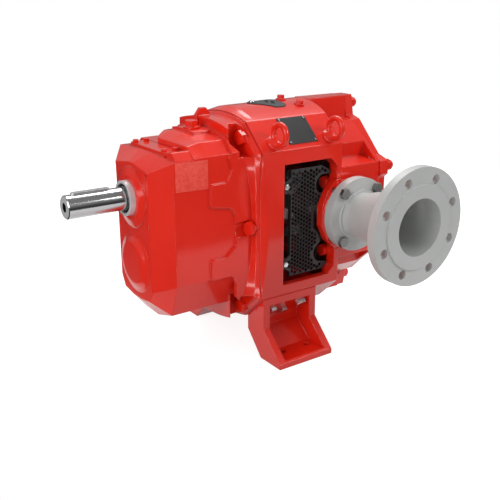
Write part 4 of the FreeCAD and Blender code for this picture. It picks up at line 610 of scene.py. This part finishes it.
def white_table(name):
    """Matt white that glows just enough to look white to the camera and in gloss."""
    material, tree = new_material(name)[:2]
    tree.nodes.clear()
    out = tree.nodes.new("ShaderNodeOutputMaterial")
    diffuse = tree.nodes.new("ShaderNodeBsdfDiffuse")
    diffuse.inputs["Color"].default_value = (TABLE_WHITE, TABLE_WHITE, TABLE_WHITE, 1.0)
    light = tree.nodes.new("ShaderNodeEmission")
    glow = mixed(tree, ray_kind(tree, "Is Camera Ray"), 0.0, TABLE_TO_CAMERA)
    glow = mixed(tree, ray_kind(tree, "Is Glossy Ray"), glow, TABLE_TO_GLOSS)
    tree.links.new(glow, light.inputs["Strength"])
    both = tree.nodes.new("ShaderNodeAddShader")
    tree.links.new(diffuse.outputs[0], both.inputs[0])
    tree.links.new(light.outputs[0], both.inputs[1])
    tree.links.new(both.outputs[0], out.inputs["Surface"])
    return material


def soft_box(name, spot, size, power):
    lamp = bpy.data.lights.new(name, "AREA")
    lamp.shape = "RECTANGLE"
    lamp.size, lamp.size_y = size
    lamp.energy = power
    box = link(name, lamp)
    box.location = spot
    box.rotation_euler = (Vector(CENTRE) - Vector(spot)).to_track_quat("-Z", "Y").to_euler()


def studio_world():
    """White to the camera and plain for diffuse light; polished faces see a dim room with a pale ceiling."""
    world = bpy.data.worlds.new("studio_world")
    bpy.context.scene.world = world
    world.use_nodes = True
    tree = world.node_tree
    background = tree.nodes["Background"]
    background.inputs["Color"].default_value = (1.0, 1.0, 1.0, 1.0)
    coords = tree.nodes.new("ShaderNodeTexCoord")
    split = tree.nodes.new("ShaderNodeSeparateXYZ")
    tree.links.new(coords.outputs["Generated"], split.inputs[0])
    ceiling = ramp(tree, split.outputs["Z"], ROOM_LOW, ROOM_HIGH, -0.06, 0.30)
    behind = ramp(tree, split.outputs["Y"], 0.0, ROOM_WALL, 0.25, 0.75)
    above = ramp(tree, split.outputs["Z"], 0.0, 1.0, 0.02, 0.16)
    room = combined(tree, "ADD", ceiling, combined(tree, "MULTIPLY", behind, above))
    strength = mixed(tree, ray_kind(tree, "Is Glossy Ray"), WORLD_LIGHT, room)
    strength = mixed(tree, ray_kind(tree, "Is Camera Ray"), strength, 1.0)
    tree.links.new(strength, background.inputs["Strength"])


mesh = bpy.data.meshes.new("studio_floor")
bm = bmesh.new()
bmesh.ops.create_grid(bm, x_segments=1, y_segments=1, size=1.0)
bmesh.ops.scale(bm, vec=(TABLE_LENGTH / 2, TABLE_DEPTH / 2, 1.0), verts=bm.verts)
bmesh.ops.translate(bm, vec=(*TABLE_MIDDLE, -TABLE_DROP), verts=bm.verts)
bm.to_mesh(mesh)
bm.free()
floor = link("studio_floor", mesh)
give(floor, white_table("white_table"))
soft_box("overhead_box", (0.9, 0.8, 2.5), (2.0, 0.9), 34.0)
soft_box("left_box", (-2.6, -0.6, 1.2), (1.4, 1.6), 26.0)
soft_box("front_box", (1.6, -2.1, 1.8), (1.0, 0.7), 27.0)
soft_box("low_left_box", (-2.1, -1.5, -0.35), (0.3, 1.2), 7.0)
studio_world()

camera_data = bpy.data.cameras.new("photo_camera")
camera_data.sensor_width = CAMERA_SENSOR
camera_data.lens = CAMERA_LENS
camera_data.clip_start = 0.01
camera = link("photo_camera", camera_data)
camera.location = CAMERA_SPOT
camera.rotation_euler = CAMERA_LOOK.to_track_quat("-Z", "Y").to_euler()
bpy.context.scene.camera = camera
bpy.context.scene.view_settings.view_transform = "Standard"
